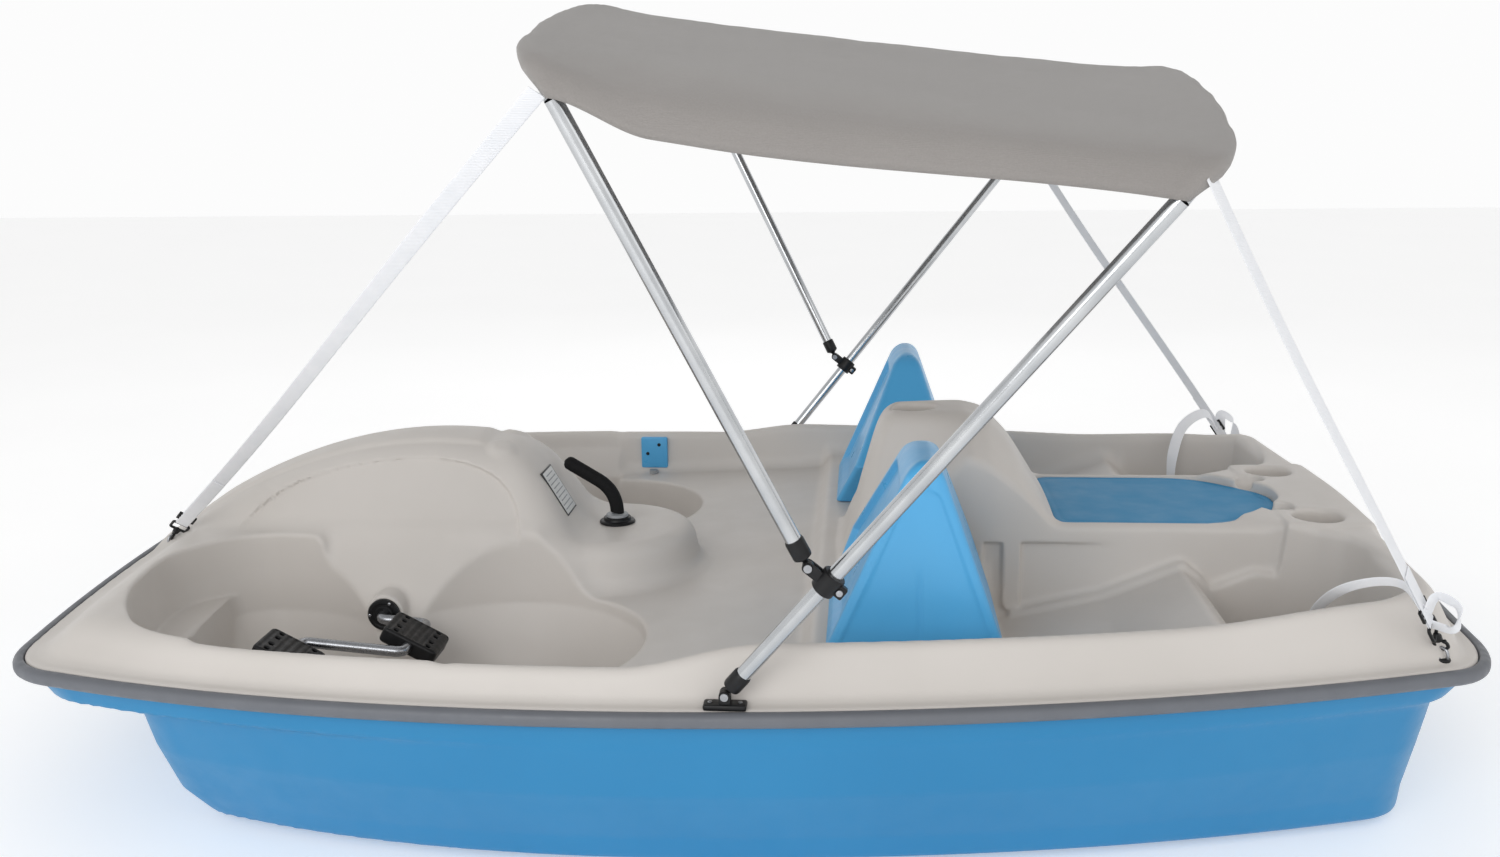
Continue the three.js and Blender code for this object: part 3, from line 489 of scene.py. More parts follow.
def foam_rubber():
    """Closed-cell foam: dull, with small pores."""
    shader = cloudy("foam_rubber", (12, 12, 13), (24, 24, 26), 0.78, (120, 4, 0.7), Specular_IOR_Level=0.25)
    shader.raise_by(shader.texture("TexVoronoi", Scale=900.0)["Distance"], 0.0002)
    return shader.material


def anodised_tube():
    """Bright drawn tube: die lines along it and faint handling marks."""
    shader = cloudy("anodised_tube", (200, 202, 204), (180, 183, 186), 0.2, (18, 5, 0.9), metallic=1.0)
    shader.vary_roughness(shader.noise(60, 4, (1, 1, 0.1)), 0.05)
    return shader.material


def stainless():
    return cloudy("stainless", (168, 170, 174), (150, 152, 156), 0.3, (40, 4, 0.8), (300, 4, 0.08),
                  metallic=1.0).material


def canopy_fabric():
    """Plain weave: crossed threads as bump, with slubs and a slow fading of the dye."""
    darker = (134, 130, 127)
    shader = cloudy("canopy_cloth", (150, 146, 143), darker, 0.86, (2.2, 4, 0.45), Sheen_Weight=0.35,
                    Sheen_Roughness=0.5, Specular_IOR_Level=0.25)
    shader.vary_colour(shader.noise(420, 2), darker, 0.35)
    for axis in ("X", "Y"):
        threads = shader.texture("TexWave", bands_direction=axis, Scale=420.0, Distortion=0.6, Detail=2.0,
                                 Detail_Scale=3.0)
        shader.raise_by(threads["Fac"], 0.00014)
    shader.raise_by(shader.noise(9, 3), 0.0022)
    return shader.material


def webbing():
    """Nylon strap: ribs across its length."""
    shader = cloudy("webbing", (232, 233, 236), (226, 228, 232), 0.7, (40, 4, 0.8), Sheen_Weight=0.2,
                    Specular_IOR_Level=0.3)
    ribs = shader.texture("TexWave", bands_direction="Z", Scale=160.0, Distortion=0.3)
    shader.raise_by(ribs["Fac"], 0.00022)
    return shader.material


def vinyl():
    return cloudy("rail_vinyl", (104, 107, 113), (98, 101, 107), 0.5, (14, 5, 0.9), (60, 4, 0.12),
                  [(700, 3, 0.00012)]).material


def simple_plastic(name, colour, other, roughness):
    return cloudy(name, colour, other, roughness, (80, 4, 0.7), bumps=[(700, 3, 0.00008)]).material


DECK = moulded_plastic("deck", (208, 203, 198), (198, 193, 187), 0.5)
HULL = moulded_plastic("hull", (38, 128, 178), (32, 121, 171), 0.4)
SEAT = moulded_plastic("seat", (86, 172, 224), (76, 164, 217), 0.34)
LID = moulded_plastic("lid", (42, 136, 184), (38, 131, 178), 0.58)
BLACK, GRIP = black_nylon(), foam_rubber()
ALUMINIUM, STEEL = anodised_tube(), stainless()
FABRIC, STRAP, RAIL = canopy_fabric(), webbing(), vinyl()
GREY = simple_plastic("grey_plastic", (160, 163, 166), (136, 139, 142), 0.5)
PAPER = simple_plastic("plate_face", (222, 223, 222), (206, 208, 208), 0.45)
INK = simple_plastic("plate_border", (30, 30, 32), (46, 46, 48), 0.5)
FOAM = simple_plastic("foam", (238, 240, 238), (226, 228, 226), 0.9)


# ---------------------------------------------------------------- camera, light and floor
FLOOR_HALF, FLOOR_GAP = 14, 0.0005


def look(obj, right, up, back, place):
    columns = [Vector(right), Vector(up), Vector(back)]
    obj.matrix_world = Matrix([[c[i] for c in columns] + [place[i]] for i in range(3)] + [[0, 0, 0, 1]])


def make_camera():
    camera = bpy.data.objects.new("camera", bpy.data.cameras.new("camera"))
    bpy.context.collection.objects.link(camera)
    camera.data.sensor_width, camera.data.lens = 36, 33.93
    forward = Vector((0.0805, -0.9733, -0.2148)).normalized()
    right = Vector((-0.9967, -0.0797, -0.0123)).normalized()
    look(camera, right, right.cross(forward), -forward, (-0.198, 2.595, 1.084))
    camera.data.clip_start, camera.data.clip_end = 0.05, 60
    bpy.context.scene.camera = camera


def soft_light(name, place, aim, size, power):
    lamp = bpy.data.lights.new(name, "AREA")
    lamp.shape, lamp.size, lamp.energy = "SQUARE", size, power
    obj = bpy.data.objects.new(name, lamp)
    obj.location = place
    obj.rotation_euler = (Vector(aim) - Vector(place)).to_track_quat("-Z", "Y").to_euler()
    bpy.context.collection.objects.link(obj)


def make_studio():
    world = bpy.data.worlds.new("studio")
    world.use_nodes = True
    tree = world.node_tree
    background = tree.nodes["Background"]
    heading, height = tree.nodes.new("ShaderNodeTexCoord"), tree.nodes.new("ShaderNodeSeparateXYZ")
    tree.links.new(heading.outputs["Generated"], height.inputs["Vector"])
    tree.links.new(map_range(tree, height.outputs["Z"], 0.25, 1.0, 1.06, 0.45), background.inputs["Color"])
    background.inputs["Strength"].default_value = 0.92
    bpy.context.scene.world = world
    bpy.context.scene.view_settings.view_transform = "Standard"
    soft_light("key", (1.2, 4.4, 2.2), (0, 0, 0.3), 2.6, 62)
    soft_light("fill", (-3.2, 2.6, 3.0), (0, 0, 0.3), 3.0, 14)
    soft_light("back", (0, -3.2, 3.0), (0, 0, 0.4), 3.5, 12)
    shader = cloudy("studio_floor", (246, 246, 246), (244, 244, 244), 0.8, (1.5, 2, 1.0),
                    Emission_Color=(1, 1, 1, 1), Emission_Strength=0.3)
    corners = [(x * FLOOR_HALF, y * FLOOR_HALF, 0) for x, y in ((-1, -1), (1, -1), (1, 1), (-1, 1))]
    floor = make_object("floor", corners, [(0, 1, 2, 3)], shader.material)
    floor.location.z = -FLOOR_GAP


make_camera()
make_studio()


# ---------------------------------------------------------------- plan outline
def bezier(points, steps):
    """A curve from the first point to the last, by repeated blending of neighbouring points."""
    t = np.linspace(0, 1, steps + 1)[1:, None]
    level = [np.array(p, float) for p in points]
    while len(level) > 1:
        level = [a * (1 - t) + b * t for a, b in zip(level, level[1:])]
    return level[0]


def port_outline():
    """The port half of the plan, bow to stern: each curve starts where the last one ends."""
    runs = [
        (24, (1.165, 0.3), (1.118, 0.59)), (16, (1.104, 0.706), (1.0, 0.727)),
        (60, (0.48, 0.881), (-0.33, 0.869), (-1.06, 0.617)), (14, (-1.128, 0.592), (-1.138, 0.48)),
        (20, (-1.15, 0.2), (-HALF_LENGTH, 0)),
    ]
    line = [np.array([[HALF_LENGTH, 0.0]])]
    for steps, *points in runs:
        line.append(bezier([line[-1][-1], *points], steps))
    return np.concatenate(line)


HALF_LENGTH = 1.1745
PORT = port_outline()
OUTLINE = np.concatenate([PORT, (PORT * (1, -1))[-2:0:-1]])
HALF_BEAM = PORT[:, 1].max()


class InsetTable:
    """Distance in from the plan outline, by bilinear reading of a fine grid."""

    def __init__(self, step=0.004, reach=1.22, wide=0.9):
        self.step, self.aft = step, -reach
        xs, ys = np.arange(-reach, reach, step), np.arange(0.0, wide, step)
        grid = np.stack(np.meshgrid(xs, ys, indexing="ij"), -1).reshape(-1, 2)
        self.values = self.distance(grid).reshape(len(xs), len(ys))

    @staticmethod
    def distance(points):
        best = np.full(len(points), 9.0)
        crossings = np.zeros(len(points), bool)
        loop = np.concatenate([OUTLINE, OUTLINE[:1]])
        for a, b in zip(loop[:-1], loop[1:]):
            run = b - a
            t = np.clip(((points - a) @ run) / (run @ run), 0, 1)
            best = np.minimum(best, np.hypot(*(points - a - t[:, None] * run).T))
            straddles = (a[1] > points[:, 1]) != (b[1] > points[:, 1])
            if a[1] != b[1]:
                at = a[0] + (points[:, 1] - a[1]) / (b[1] - a[1]) * run[0]
                crossings ^= straddles & (points[:, 0] < at)
        return np.where(crossings, best, -best)

    def __call__(self, x, y):
        u = (x - self.aft) / self.step
        v = np.abs(y) / self.step
        i = np.clip(np.floor(u).astype(int), 0, self.values.shape[0] - 2)
        j = np.clip(np.floor(v).astype(int), 0, self.values.shape[1] - 2)
        fu, fv = u - i, v - j
        low = lerp(self.values[i, j], self.values[i + 1, j], fu)
        high = lerp(self.values[i, j + 1], self.values[i + 1, j + 1], fu)
        return lerp(low, high, fv)


inset = InsetTable()


# ---------------------------------------------------------------- hull shape
# Height, reach of the bow and of the stern, and half beam.
HULL_ROWS = [
    (-0.02, 0.69, 1.06, 0.66), (0.0, 0.73, 1.078, 0.685), (0.02, 0.917, 1.083, 0.715),
    (0.06, 0.956, 1.083, 0.73), (0.15, 0.968, 1.088, 0.78), (0.232, 0.979, 1.098, 0.806),
    (0.24, 1.122, 1.12, 0.808), (0.2787, 1.157, 1.157, 0.809), (0.3, 1.16, 1.16, 0.811),
]
TUNNEL_HALF = [(-0.05, 0.184), (0.0, 0.182), (0.15, 0.16), (0.3, 0.142)]
TUNNEL_ROOF = 0.19
DRAIN = {"y": 0.3, "z": 0.12, "radius": 0.0125, "fore": -1.02}


def hull_side(x, y, z):
    levels = [row[0] for row in HULL_ROWS]
    bow, stern, half = (np.interp(z, levels, [row[i] for row in HULL_ROWS]) for i in (1, 2, 3))
    along = np.where(x > 0, HALF_LENGTH / bow, HALF_LENGTH / stern)
    return -inset(x * along, y * HALF_BEAM / half)


# ---------------------------------------------------------------- deck moulding
GUNWALE_Z, GUNWALE_FLAT = 0.294, 0.04
COCKPIT_FORE, COCKPIT_AFT = 0.395, -1.038
LEDGE_TOP, LEDGE_HALF = 0.392, 0.206
CONSOLE_FORE, CONSOLE_AFT = -0.115, -1.06
PLATFORM_X, PLATFORM_RADIUS = 0.29, 0.178
NOTCH_X, NOTCH_Y = -0.935, 0.098
PANEL = {"x": 0.71, "half": 0.285, "drop": 0.19, "tall": 0.183, "deep": 0.008}
CREST = {"deep": 0.006, "half": 0.057, "fore": 1.07, "aft": 0.515}
KNUCKLE = {"x": 0.478, "y": 0.06, "deep": 0.007}
FACE = {"x": 0.42, "z": 0.47, "rise": 1.706, "slant": 1.977, "wrap": 0.9}
WELL_END = {"x": 0.45, "long": 0.6, "half": 0.775, "draft": 0.15}


def coaming_inset(x):
    return lerp(0.066, 0.09, ease(0.15, -0.06, x)) + 0.054 * ease(0.7, HALF_LENGTH, x)


def coaming_top(x):
    return lerp(0.345, 0.373, ease(0.15, -0.06, x)) + 0.019 * ease(-0.65, -0.95, x)


FLOOR_LINE = rounded([
    (0.46, 0.236), (0.395, 0.236), (0.15, 0.246), (-0.1, 0.268), (-0.118, 0.295), (-0.414, 0.295),
    (-0.426, 0.215), (-0.61, 0.257), (-0.745, 0.314), (-0.775, 0.29), (-0.84, 0.11), (-1.0, 0.1),
    (-1.03, 0.2), (-1.06, 0.42),
], 0.014)
FLOOR_SLOPE = slope_of(FLOOR_LINE)
LEDGE_LINE = rounded([
    (-0.44, 0.1), (-0.45, 0.222), (-0.61, 0.262), (-0.75, 0.322), (-0.8, 0.277), (-0.87, 0.307),
    (-0.913, 0.302), (-0.922, 0.42), (-1.1, 0.42),
], 0.01)
CONSOLE_TOP = rounded([
    (-0.122, 0.232), (-0.15, 0.285), (-0.176, 0.358), (-0.226, 0.535), (-0.252, 0.556), (-0.38, 0.558),
    (-0.42, 0.546), (-0.47, 0.492), (-0.532, 0.392), (-0.56, 0.39), (-1.04, 0.39),
], 0.022)
CONSOLE_SLOPE = slope_of(CONSOLE_TOP)
CONSOLE_HALF_TOP = rounded([
    (-0.122, 0.07), (-0.226, 0.058), (-0.252, 0.06), (-0.33, 0.074), (-0.38, 0.082), (-0.42, 0.092),
    (-0.47, 0.116), (-0.532, 0.15), (-0.6, 0.168),
], 0.02)
CONSOLE_SHOULDER = rounded([
    (-0.122, 0.224), (-0.176, 0.35), (-0.226, 0.38), (-0.252, 0.39), (-0.33, 0.45), (-0.38, 0.503),
    (-0.42, 0.486), (-0.47, 0.446), (-0.532, 0.388), (-0.6, 0.386),
], 0.016)
CONSOLE_HALF = rounded([
    (-0.122, 0.13), (-0.176, 0.15), (-0.226, 0.16), (-0.33, 0.178), (-0.38, 0.184), (-0.42, 0.187),
    (-0.6, 0.187),
], 0.02)


def slab(x, z, d):
    """The gunwale's slope up to the coaming, and the flat inside it."""
    top = coaming_top(x)
    rise = (top - GUNWALE_Z) / (coaming_inset(x) - GUNWALE_FLAT)
    ramp = (z - (GUNWALE_Z + (d - GUNWALE_FLAT) * rise)) / np.hypot(1, rise)
    slope = smooth_min(z - GUNWALE_Z, smooth_max(ramp, z - top, 0.022), 0.01)
    return smooth_max(slope, RAIL_DEPTH + GAP - d, 0.005)


STERN_SHELF = rounded([
    (-0.8, 0.1), (-0.89, 0.17), (-0.922, 0.2), (-0.965, 0.225), (-1.0, 0.258), (-1.022, 0.31),
    (-1.034, 0.37), (-1.045, 0.6), (-1.06, 0.7),
], 0.012)
SHELF_SLOPE = slope_of(STERN_SHELF)


def stern_shelf(x, a, z):
    """The deck round the aft cups, curving round the inboard corner of each aft well."""
    side = (a - STERN_SHELF(x)) / SHELF_SLOPE(x)
    ends = np.maximum(CONSOLE_AFT - x, x + 0.86)
    return np.maximum(smooth_max(side, z - LEDGE_TOP, 0.016), ends)


def cockpit(x, z, d):
    floor = (FLOOR_LINE(x) - z) / FLOOR_SLOPE(x)
    wall = coaming_inset(x) + np.interp(z, [0, 0.33, 0.48], [0.044, 0.014, 0.002]) - d
    stern = (COCKPIT_AFT - 0.1 * (z - 0.33)) - x
    round_wall = smooth_max(wall, stern, 0.11)
    return smooth_max(smooth_max(round_wall, floor, 0.03), x - COCKPIT_FORE, 0.02)


def hump_top(x):
    return HUMP_TOP - HUMP_FALL * (x - HUMP_X) ** 2


def hump(x, a, z):
    """The hump over the wheel: crest band, knuckles, a sunk oval panel a side, and a steep aft face."""
    top = hump_top(x)
    aft, fore, half = CREST["aft"], CREST["fore"], CREST["half"]
    crest_ends = ease(aft - 0.015, aft + 0.015, x) * ease(fore + 0.05, fore - 0.05, x)
    crest_band = CREST["deep"] * ease(half + 0.007, half - 0.007, a) * crest_ends
    knuckle = KNUCKLE["deep"] * ease(0.034, 0.014, np.hypot(x - KNUCKLE["x"], a - KNUCKLE["y"]))
    crown = z - top + SHOULDER_DROP * (a / SHOULDER_Y) ** 2 - crest_band - knuckle
    below = top - SHOULDER_DROP - z
    along, down = (x - PANEL["x"]) / PANEL["half"], (below - PANEL["drop"]) / PANEL["tall"]
    recess = PANEL["deep"] * ease(1.014, 0.986, (np.abs(along) ** 4 + np.abs(down) ** 4) ** 0.25)
    flank = (z - top + SHOULDER_DROP + FLANK * (a - SHOULDER_Y)) / math.hypot(1, FLANK) + recess
    face = (z - FACE["z"] - FACE["rise"] * (x - FACE["x"])) / FACE["slant"]
    face = face + FACE["wrap"] * np.maximum(a - 0.08, 0) ** 2
    return smooth_max(smooth_max(crown, flank, 0.016), face, 0.04)


def platform(x, a, z):
    """The round-ended step under the steering lever."""
    reach = np.where(x < PLATFORM_X, np.hypot(x - PLATFORM_X, a), a)
    side = (reach - PLATFORM_RADIUS + 0.22 * (z - 0.24)) / 1.02
    return smooth_max(smooth_max(side, z - STEER_DECK, 0.03), x - 0.48, 0.01)


def side_line(a, z, a0, z0, a1, z1):
    """Signed distance out from the line through two points of a section."""
    run, drop = a1 - a0, z1 - z0
    return ((a - a0) * -drop + (z - z0) * run) / np.hypot(run, drop)


def comb(x, z):
    """Depth of the shallow stepped pattern on the console's flank."""
    lower = ease(0.353, 0.347, z) * ease(-0.66, -0.5, x) * ease(-0.405, -0.412, x)
    tongue_z = np.clip(z, 0.243, 0.4)
    tongue = ease(0.019, 0.014, np.hypot(x + 0.457, z - tongue_z))
    return 0.01 * lower * (1 - tongue)


def console(x, a, z):
    top, half_top = CONSOLE_TOP(x), CONSOLE_HALF_TOP(x)
    shoulder, half = CONSOLE_SHOULDER(x), CONSOLE_HALF(x)
    crown = (z - top) / CONSOLE_SLOPE(x)
    inner = a + comb(x, z)
    upper = side_line(inner, z, half_top, top, half, np.minimum(shoulder, top - 0.004))
    lower = side_line(inner, z, half, shoulder, half + 0.026, -0.06)
    body = smooth_max(smooth_max(crown, smooth_max(upper, lower, 0.014), 0.024), x - CONSOLE_FORE, 0.02)
    ledge = smooth_max(smooth_max(a - LEDGE_HALF, (z - LEDGE_LINE(x)) * 0.8, 0.008), z - LEDGE_TOP, 0.01)
    return np.maximum(smooth_min(body, ledge, 0.012), CONSOLE_AFT - x)


def bowl(x, a, z, rows, fore_share):
    """A dished well: centre and radius change with height; fore_share is its reach ahead of the centre."""
    levels = [row[0] for row in rows]
    cx, cy, radius = (np.interp(z, levels, [row[i] for row in rows]) for i in (1, 2, 3))
    run = np.where(x > cx, (x - cx) / fore_share, x - cx)
    return smooth_max(np.hypot(run, a - cy) - radius, FLOOR_Z - z, 0.07)


# Height, centre x, centre y and radius.
FORE_BOWL = [
    (0.05, 0.78, 0.46, 0.19), (0.12, 0.83, 0.455, 0.24), (0.2, 0.87, 0.45, 0.275),
    (0.28, 0.88, 0.45, 0.28), (0.45, 0.885, 0.45, 0.285),
]
AFT_BOWL = [
    (0.05, 0.41, 0.46, 0.2), (0.15, 0.41, 0.44, 0.232), (0.22, 0.41, 0.42, 0.248),
    (0.33, 0.41, 0.42, 0.252), (0.45, 0.41, 0.42, 0.256),
]


def strip(x, a, z, wall):
    """The straight part of a footwell, between the two bowls."""
    fore = x - lerp(0.7, 0.79, ease(0.05, 0.15, z))
    box = smooth_max(smooth_max(fore, COCKPIT_FORE - x, 0.02), wall - a, 0.02)
    return smooth_max(box, FLOOR_Z - z, 0.05)


def well_limit(x, y, a, z, d):
    """Keeps the wells inside the coaming and the hull, and rounds their fore ends off in plan."""
    wall = coaming_inset(x) + np.interp(z, [0.23, 0.3, 0.48], [0.04, 0.018, 0.0]) - d
    ahead = np.maximum(x - WELL_END["x"], 0) / WELL_END["long"]
    round_end = 0.68 * ((ahead ** 3 + (a / WELL_END["half"]) ** 3) ** (1 / 3) - 1)
    round_end = round_end + WELL_END["draft"] * (0.345 - z)
    return smooth_max(smooth_max(wall, round_end, 0.02), hull_side(x, y, z - 0.008) + 0.016, 0.03)


def cup(x, a, z, cx, cy, rim, radius, depth):
    return smooth_max(np.hypot(x - cx, a - cy) - radius, rim - depth - z, 0.012)


def lid_plan(x, y, grow):
    """Signed distance out of the cooler lid's outline."""
    a = np.abs(y)
    taper = (a - 0.044 - (x - LID_AFT) * 1.1) / math.hypot(1, 1.1)
    sides = smooth_max(a - LID_HALF, taper, 0.05)
    ends = smooth_max(x - LID_FORE, LID_AFT - x, 0.02)
    return smooth_max(sides, ends, 0.025) - grow


def deck_field(x, y, z):
    a, d = np.abs(y), inset(x, y)
    limit = well_limit(x, y, a, z, d)
    ground = smooth_max(slab(x, z, d), -cockpit(x, z, d), 0.024)
    ground = smooth_max(ground, -smooth_max(strip(x, a, z, 0.15), limit, 0.02), 0.02)
    ground = smooth_min(ground, smooth_max(stern_shelf(x, a, z), coaming_inset(x) + 0.012 - d, 0.012), 0.016)
    raised = smooth_min(ground, hump(x, a, z), 0.03)
    raised = smooth_min(raised, platform(x, a, z), 0.03)
    raised = smooth_min(raised, console(x, a, z), 0.022)
    raised = smooth_max(raised, RAIL_DEPTH + GAP - d, 0.005)
    bowls = smooth_min(bowl(x, a, z, FORE_BOWL, 0.58), bowl(x, a, z, AFT_BOWL, 1.0), 0.012)
    wells = smooth_max(smooth_min(bowls, strip(x, a, z, WELL_WALL_Y), 0.01), limit, 0.02)
    solid = smooth_max(raised, -wells, 0.006)
    boss = smooth_max(np.hypot(x - WHEEL.x, z - WHEEL.z) - 0.034, a - HUB_Y + GAP, 0.004)
    solid = smooth_min(solid, boss, 0.008)
    for row in CUPS:
        solid = smooth_max(solid, -cup(x, a, z, *row), 0.01)
    recess = np.maximum(lid_plan(x, y, 0.0025), LID_Z - GAP - z)
    tub = smooth_max(lid_plan(x, y, -0.021), TUB_FLOOR - z, 0.02)
    solid = smooth_max(solid, -smooth_min(recess, tub, 0.004), 0.004)
    finger_notch = np.hypot(np.hypot(x - NOTCH_X, a - NOTCH_Y), (z - LEDGE_TOP) * 1.2) - 0.026
    return smooth_max(solid, -finger_notch, 0.006)


def deck_faces(middles):
    """The faces that stay: not the cut at the hull's joint, nor the bottom of the sampled box."""
    depth = inset(middles[:, 0], middles[:, 1])
    return ~((middles[:, 2] < DECK_EDGE_Z) & (depth < 0.035)) & (middles[:, 2] > FLOOR_Z - 0.004)


def build_deck():
    step = 0.0048
    skin = moulded("deck_moulding", deck_field, (-1.19, -0.84, 0.036), (1.19, 0.84, 0.58), step, DECK,
                   deck_faces)
    return finish_piece(skin, "boat", ["deck"])


build_deck()


# ---------------------------------------------------------------- hull moulding
def tunnel(x, a, z):
    half = np.interp(z, *zip(*TUNNEL_HALF))
    trough = smooth_max(a - half, z - TUNNEL_ROOF, 0.05)
    housing = smooth_max(np.hypot(x - WHEEL.x, z - WHEEL.z) - HOUSING_RADIUS, a - HOUSING_HALF, 0.02)
    return smooth_min(trough, housing, 0.02)


def drain_recess(x, y, z):
    return np.maximum(np.hypot(y - DRAIN["y"], z - DRAIN["z"]) - DRAIN["radius"], x - DRAIN["fore"])


def hull_field(x, y, z):
    shell = smooth_max(hull_side(x, y, z), -z, 0.028)
    shell = smooth_max(shell, -tunnel(x, np.abs(y), z), 0.016)
    return np.maximum(shell, -drain_recess(x, y, z))


def build_hull():
    step = 0.0075
    skin = moulded("hull_moulding", hull_field, (-1.19, -0.84, -0.012), (1.19, 0.84, 0.292), step, HULL,
                   lambda middles: middles[:, 2] < DECK_EDGE_Z)
    drum = [(0.0, HOUSING_RADIUS), (2 * HOUSING_HALF, HOUSING_RADIUS)]
    housing = lathe("wheel_housing", drum, WHEEL - Y * HOUSING_HALF, Y, HULL, 96)
    with edited(housing) as mesh:
        geometry = [*mesh.verts, *mesh.edges, *mesh.faces]
        bmesh.ops.bisect_plane(mesh, geom=geometry, plane_co=Z * HOUSING_CUT, plane_no=Z, clear_inner=True)
    return join("hull_moulding", [skin, housing])


finish_piece(build_hull(), "boat", ["hull"])


# ---------------------------------------------------------------- rub rail
# Depth in from the outline, and height.
RAIL_PROFILE = [
    (0.016, 0.2915), (0.016, 0.2735), (0.0145, 0.2715), (0.0115, 0.2708), (0.008, 0.2716), (0.0045, 0.2736),
    (0.0015, 0.2766), (0.0003, 0.2795), (0.0, 0.283), (0.0003, 0.2868), (0.0016, 0.2897), (0.0044, 0.2922),
    (0.0078, 0.2936), (0.0115, 0.2942), (0.0145, 0.2935),
]


def outline_offset(distance):
    """The plan outline moved in by a distance, square to itself."""
    ahead, behind = np.roll(OUTLINE, -1, axis=0), np.roll(OUTLINE, 1, axis=0)
    run = ahead - behind
    run /= np.linalg.norm(run, axis=1, keepdims=True)
    return OUTLINE + distance * np.stack([-run[:, 1], run[:, 0]], axis=1)


def build_rail():
    rings = [[Vector((x, y, z)) for x, y in outline_offset(depth)] for depth, z in RAIL_PROFILE]
    return sharpen(loft("rub_rail_extrusion", rings, RAIL, looped=True), 50)


finish_piece(build_rail(), "boat", ["rub_rail"])


# ---------------------------------------------------------------- seat-backs
SEAT_BASE, SEAT_TOP = 0.296, 0.59
# Height and inboard edge of the backrest.
SEAT_INNER = [(0.296, 0.268), (0.386, 0.206), (0.546, 0.356), (0.574, 0.384), (0.59, 0.406)]


def seat_back_field(x, a, z):
    """A wedge with a scooped inboard face, and a panel and a pinch on its outboard one."""
    fore = (x + 0.14 + 0.436 * (z - SEAT_BASE)) / 1.09
    aft = (-0.412 + 0.352 * (z - SEAT_BASE) - x) / 1.06
    inner = (np.interp(z, *zip(*SEAT_INNER)) - a) / 1.25
    outer = a - np.interp(z, [0.296, 0.546, 0.59], [0.588, 0.584, 0.574])
    fore_panel = smooth_max(smooth_max(inner, outer, 0.02), aft, 0.02)
    scoop = 0.01 * ease(-0.018, -0.03, fore_panel) * ease(0.552, 0.53, z) * ease(0.312, 0.33, z)
    face = smooth_max(smooth_max(fore, aft, 0.02), z - 0.565, 0.02)
    middle_x = -0.283 + 0.02 * (z - 0.3)
    pinch = 0.0022 * ease(0.007, 0.0, np.abs(x - middle_x)) * ease(0.44, 0.4, z) * ease(0.3, 0.34, z)
    panel = 0.0035 * ease(-0.012, -0.019, face) + pinch
    groove = 0.002 * ease(0.004, 0.0, np.abs(fore + 0.007)) * ease(-0.03, 0.0, outer)
    sides = smooth_max(inner, outer + panel + groove, 0.018)
    wedge = smooth_max(smooth_max(fore + scoop, aft, 0.022), sides, 0.012)
    return smooth_max(smooth_max(wedge, z - SEAT_TOP, 0.03), SEAT_BASE - z, 0.004)


def build_seat_back(name, side):
    step = 0.0036
    low, high = sorted((side * 0.19, side * 0.6))
    piece = moulded(f"seat_back_moulding_{name}", lambda x, y, z: seat_back_field(x, np.abs(y), z),
                    (-0.43, low, 0.28), (-0.12, high, 0.605), step, SEAT)
    finish_piece(piece, f"seat_back_{name}_body", [f"seat_back_{name}"])


for each_side in SIDES.items():
    build_seat_back(*each_side)


# ---------------------------------------------------------------- cooler lid
def lid_field(x, y, z):
    half = LID_THICK / 2
    outside = lid_plan(x, y, 0)
    plate = smooth_max(outside, np.abs(z - LID_Z - half) - half, 0.004)
    rim = 0.0009 * ease(0.0035, 0.0, np.abs(outside + 0.014)) * (z > LID_Z + half)
    spigot = smooth_max(lid_plan(x, y, -0.036), np.abs(z - 0.361) - 0.013, 0.008)
    notch = np.hypot(x - NOTCH_X, np.abs(y) - NOTCH_Y) - 0.024
    return smooth_max(smooth_min(plate + rim, spigot, 0.003), -notch, 0.004)


lid = moulded("cooler_lid_moulding", lid_field, (-0.97, -0.18, 0.34), (-0.52, 0.18, 0.39), 0.003, LID)
finish_piece(lid, "lid", ["cooler_lid"])


# ---------------------------------------------------------------- steering
def steering_path(low, reach, top, elbow=0.388):
    corners = [(0, low), (0, elbow), (reach, top)]
    return bent([Vector((STEER_X + run, 0, z)) for run, z in corners], 0.042, 16)


def upright(name, profile, material):
    """A turned piece on the steering axis; profile is (height, radius) pairs."""
    return lathe(name, profile, X * STEER_X, Z, material)


def build_lever():
    bar = tube("steering_bar", steering_path(0.152, 0.094, 0.4448), 0.008, STEEL)
    finish_piece(bar, "steering", ["steering_lever"])


def build_grip(radius=0.013, tip=4):
    """Foam over the bent end of the bar, domed over its last few points."""
    path = dense(steering_path(0.352, 0.098, 0.4472), 0.003)
    dome = [radius * math.sqrt(max(0.02, 1 - (i / tip) ** 2)) for i in range(1, tip + 1)]
    grip = tube("steering_foam_grip", path, [radius] * (len(path) - tip) + dome, GRIP, 28)
    finish_piece(grip, "steering", ["steering_grip"])


def build_lever_bearing():
    washer = upright("steering_collar", [
        (0.3373, 0.0086), (0.3373, 0.02), (0.3382, 0.021), (0.342, 0.021), (0.343, 0.02), (0.343, 0.015),
        (0.3436, 0.014), (0.3436, 0.0086),
    ], GREY)
    finish_piece(washer, "steering", ["steering_washer"])
    flange = upright("steering_bearing", [
        (0.29, 0.015), (0.3253, 0.015), (0.3253, 0.033), (0.3262, 0.034), (0.329, 0.034), (0.3305, 0.0325),
        (0.3315, 0.027), (0.333, 0.026), (0.3362, 0.026), (0.337, 0.025), (0.337, 0.0086),
    ], BLACK)
    finish_piece(flange, "boat", ["steering_flange"])


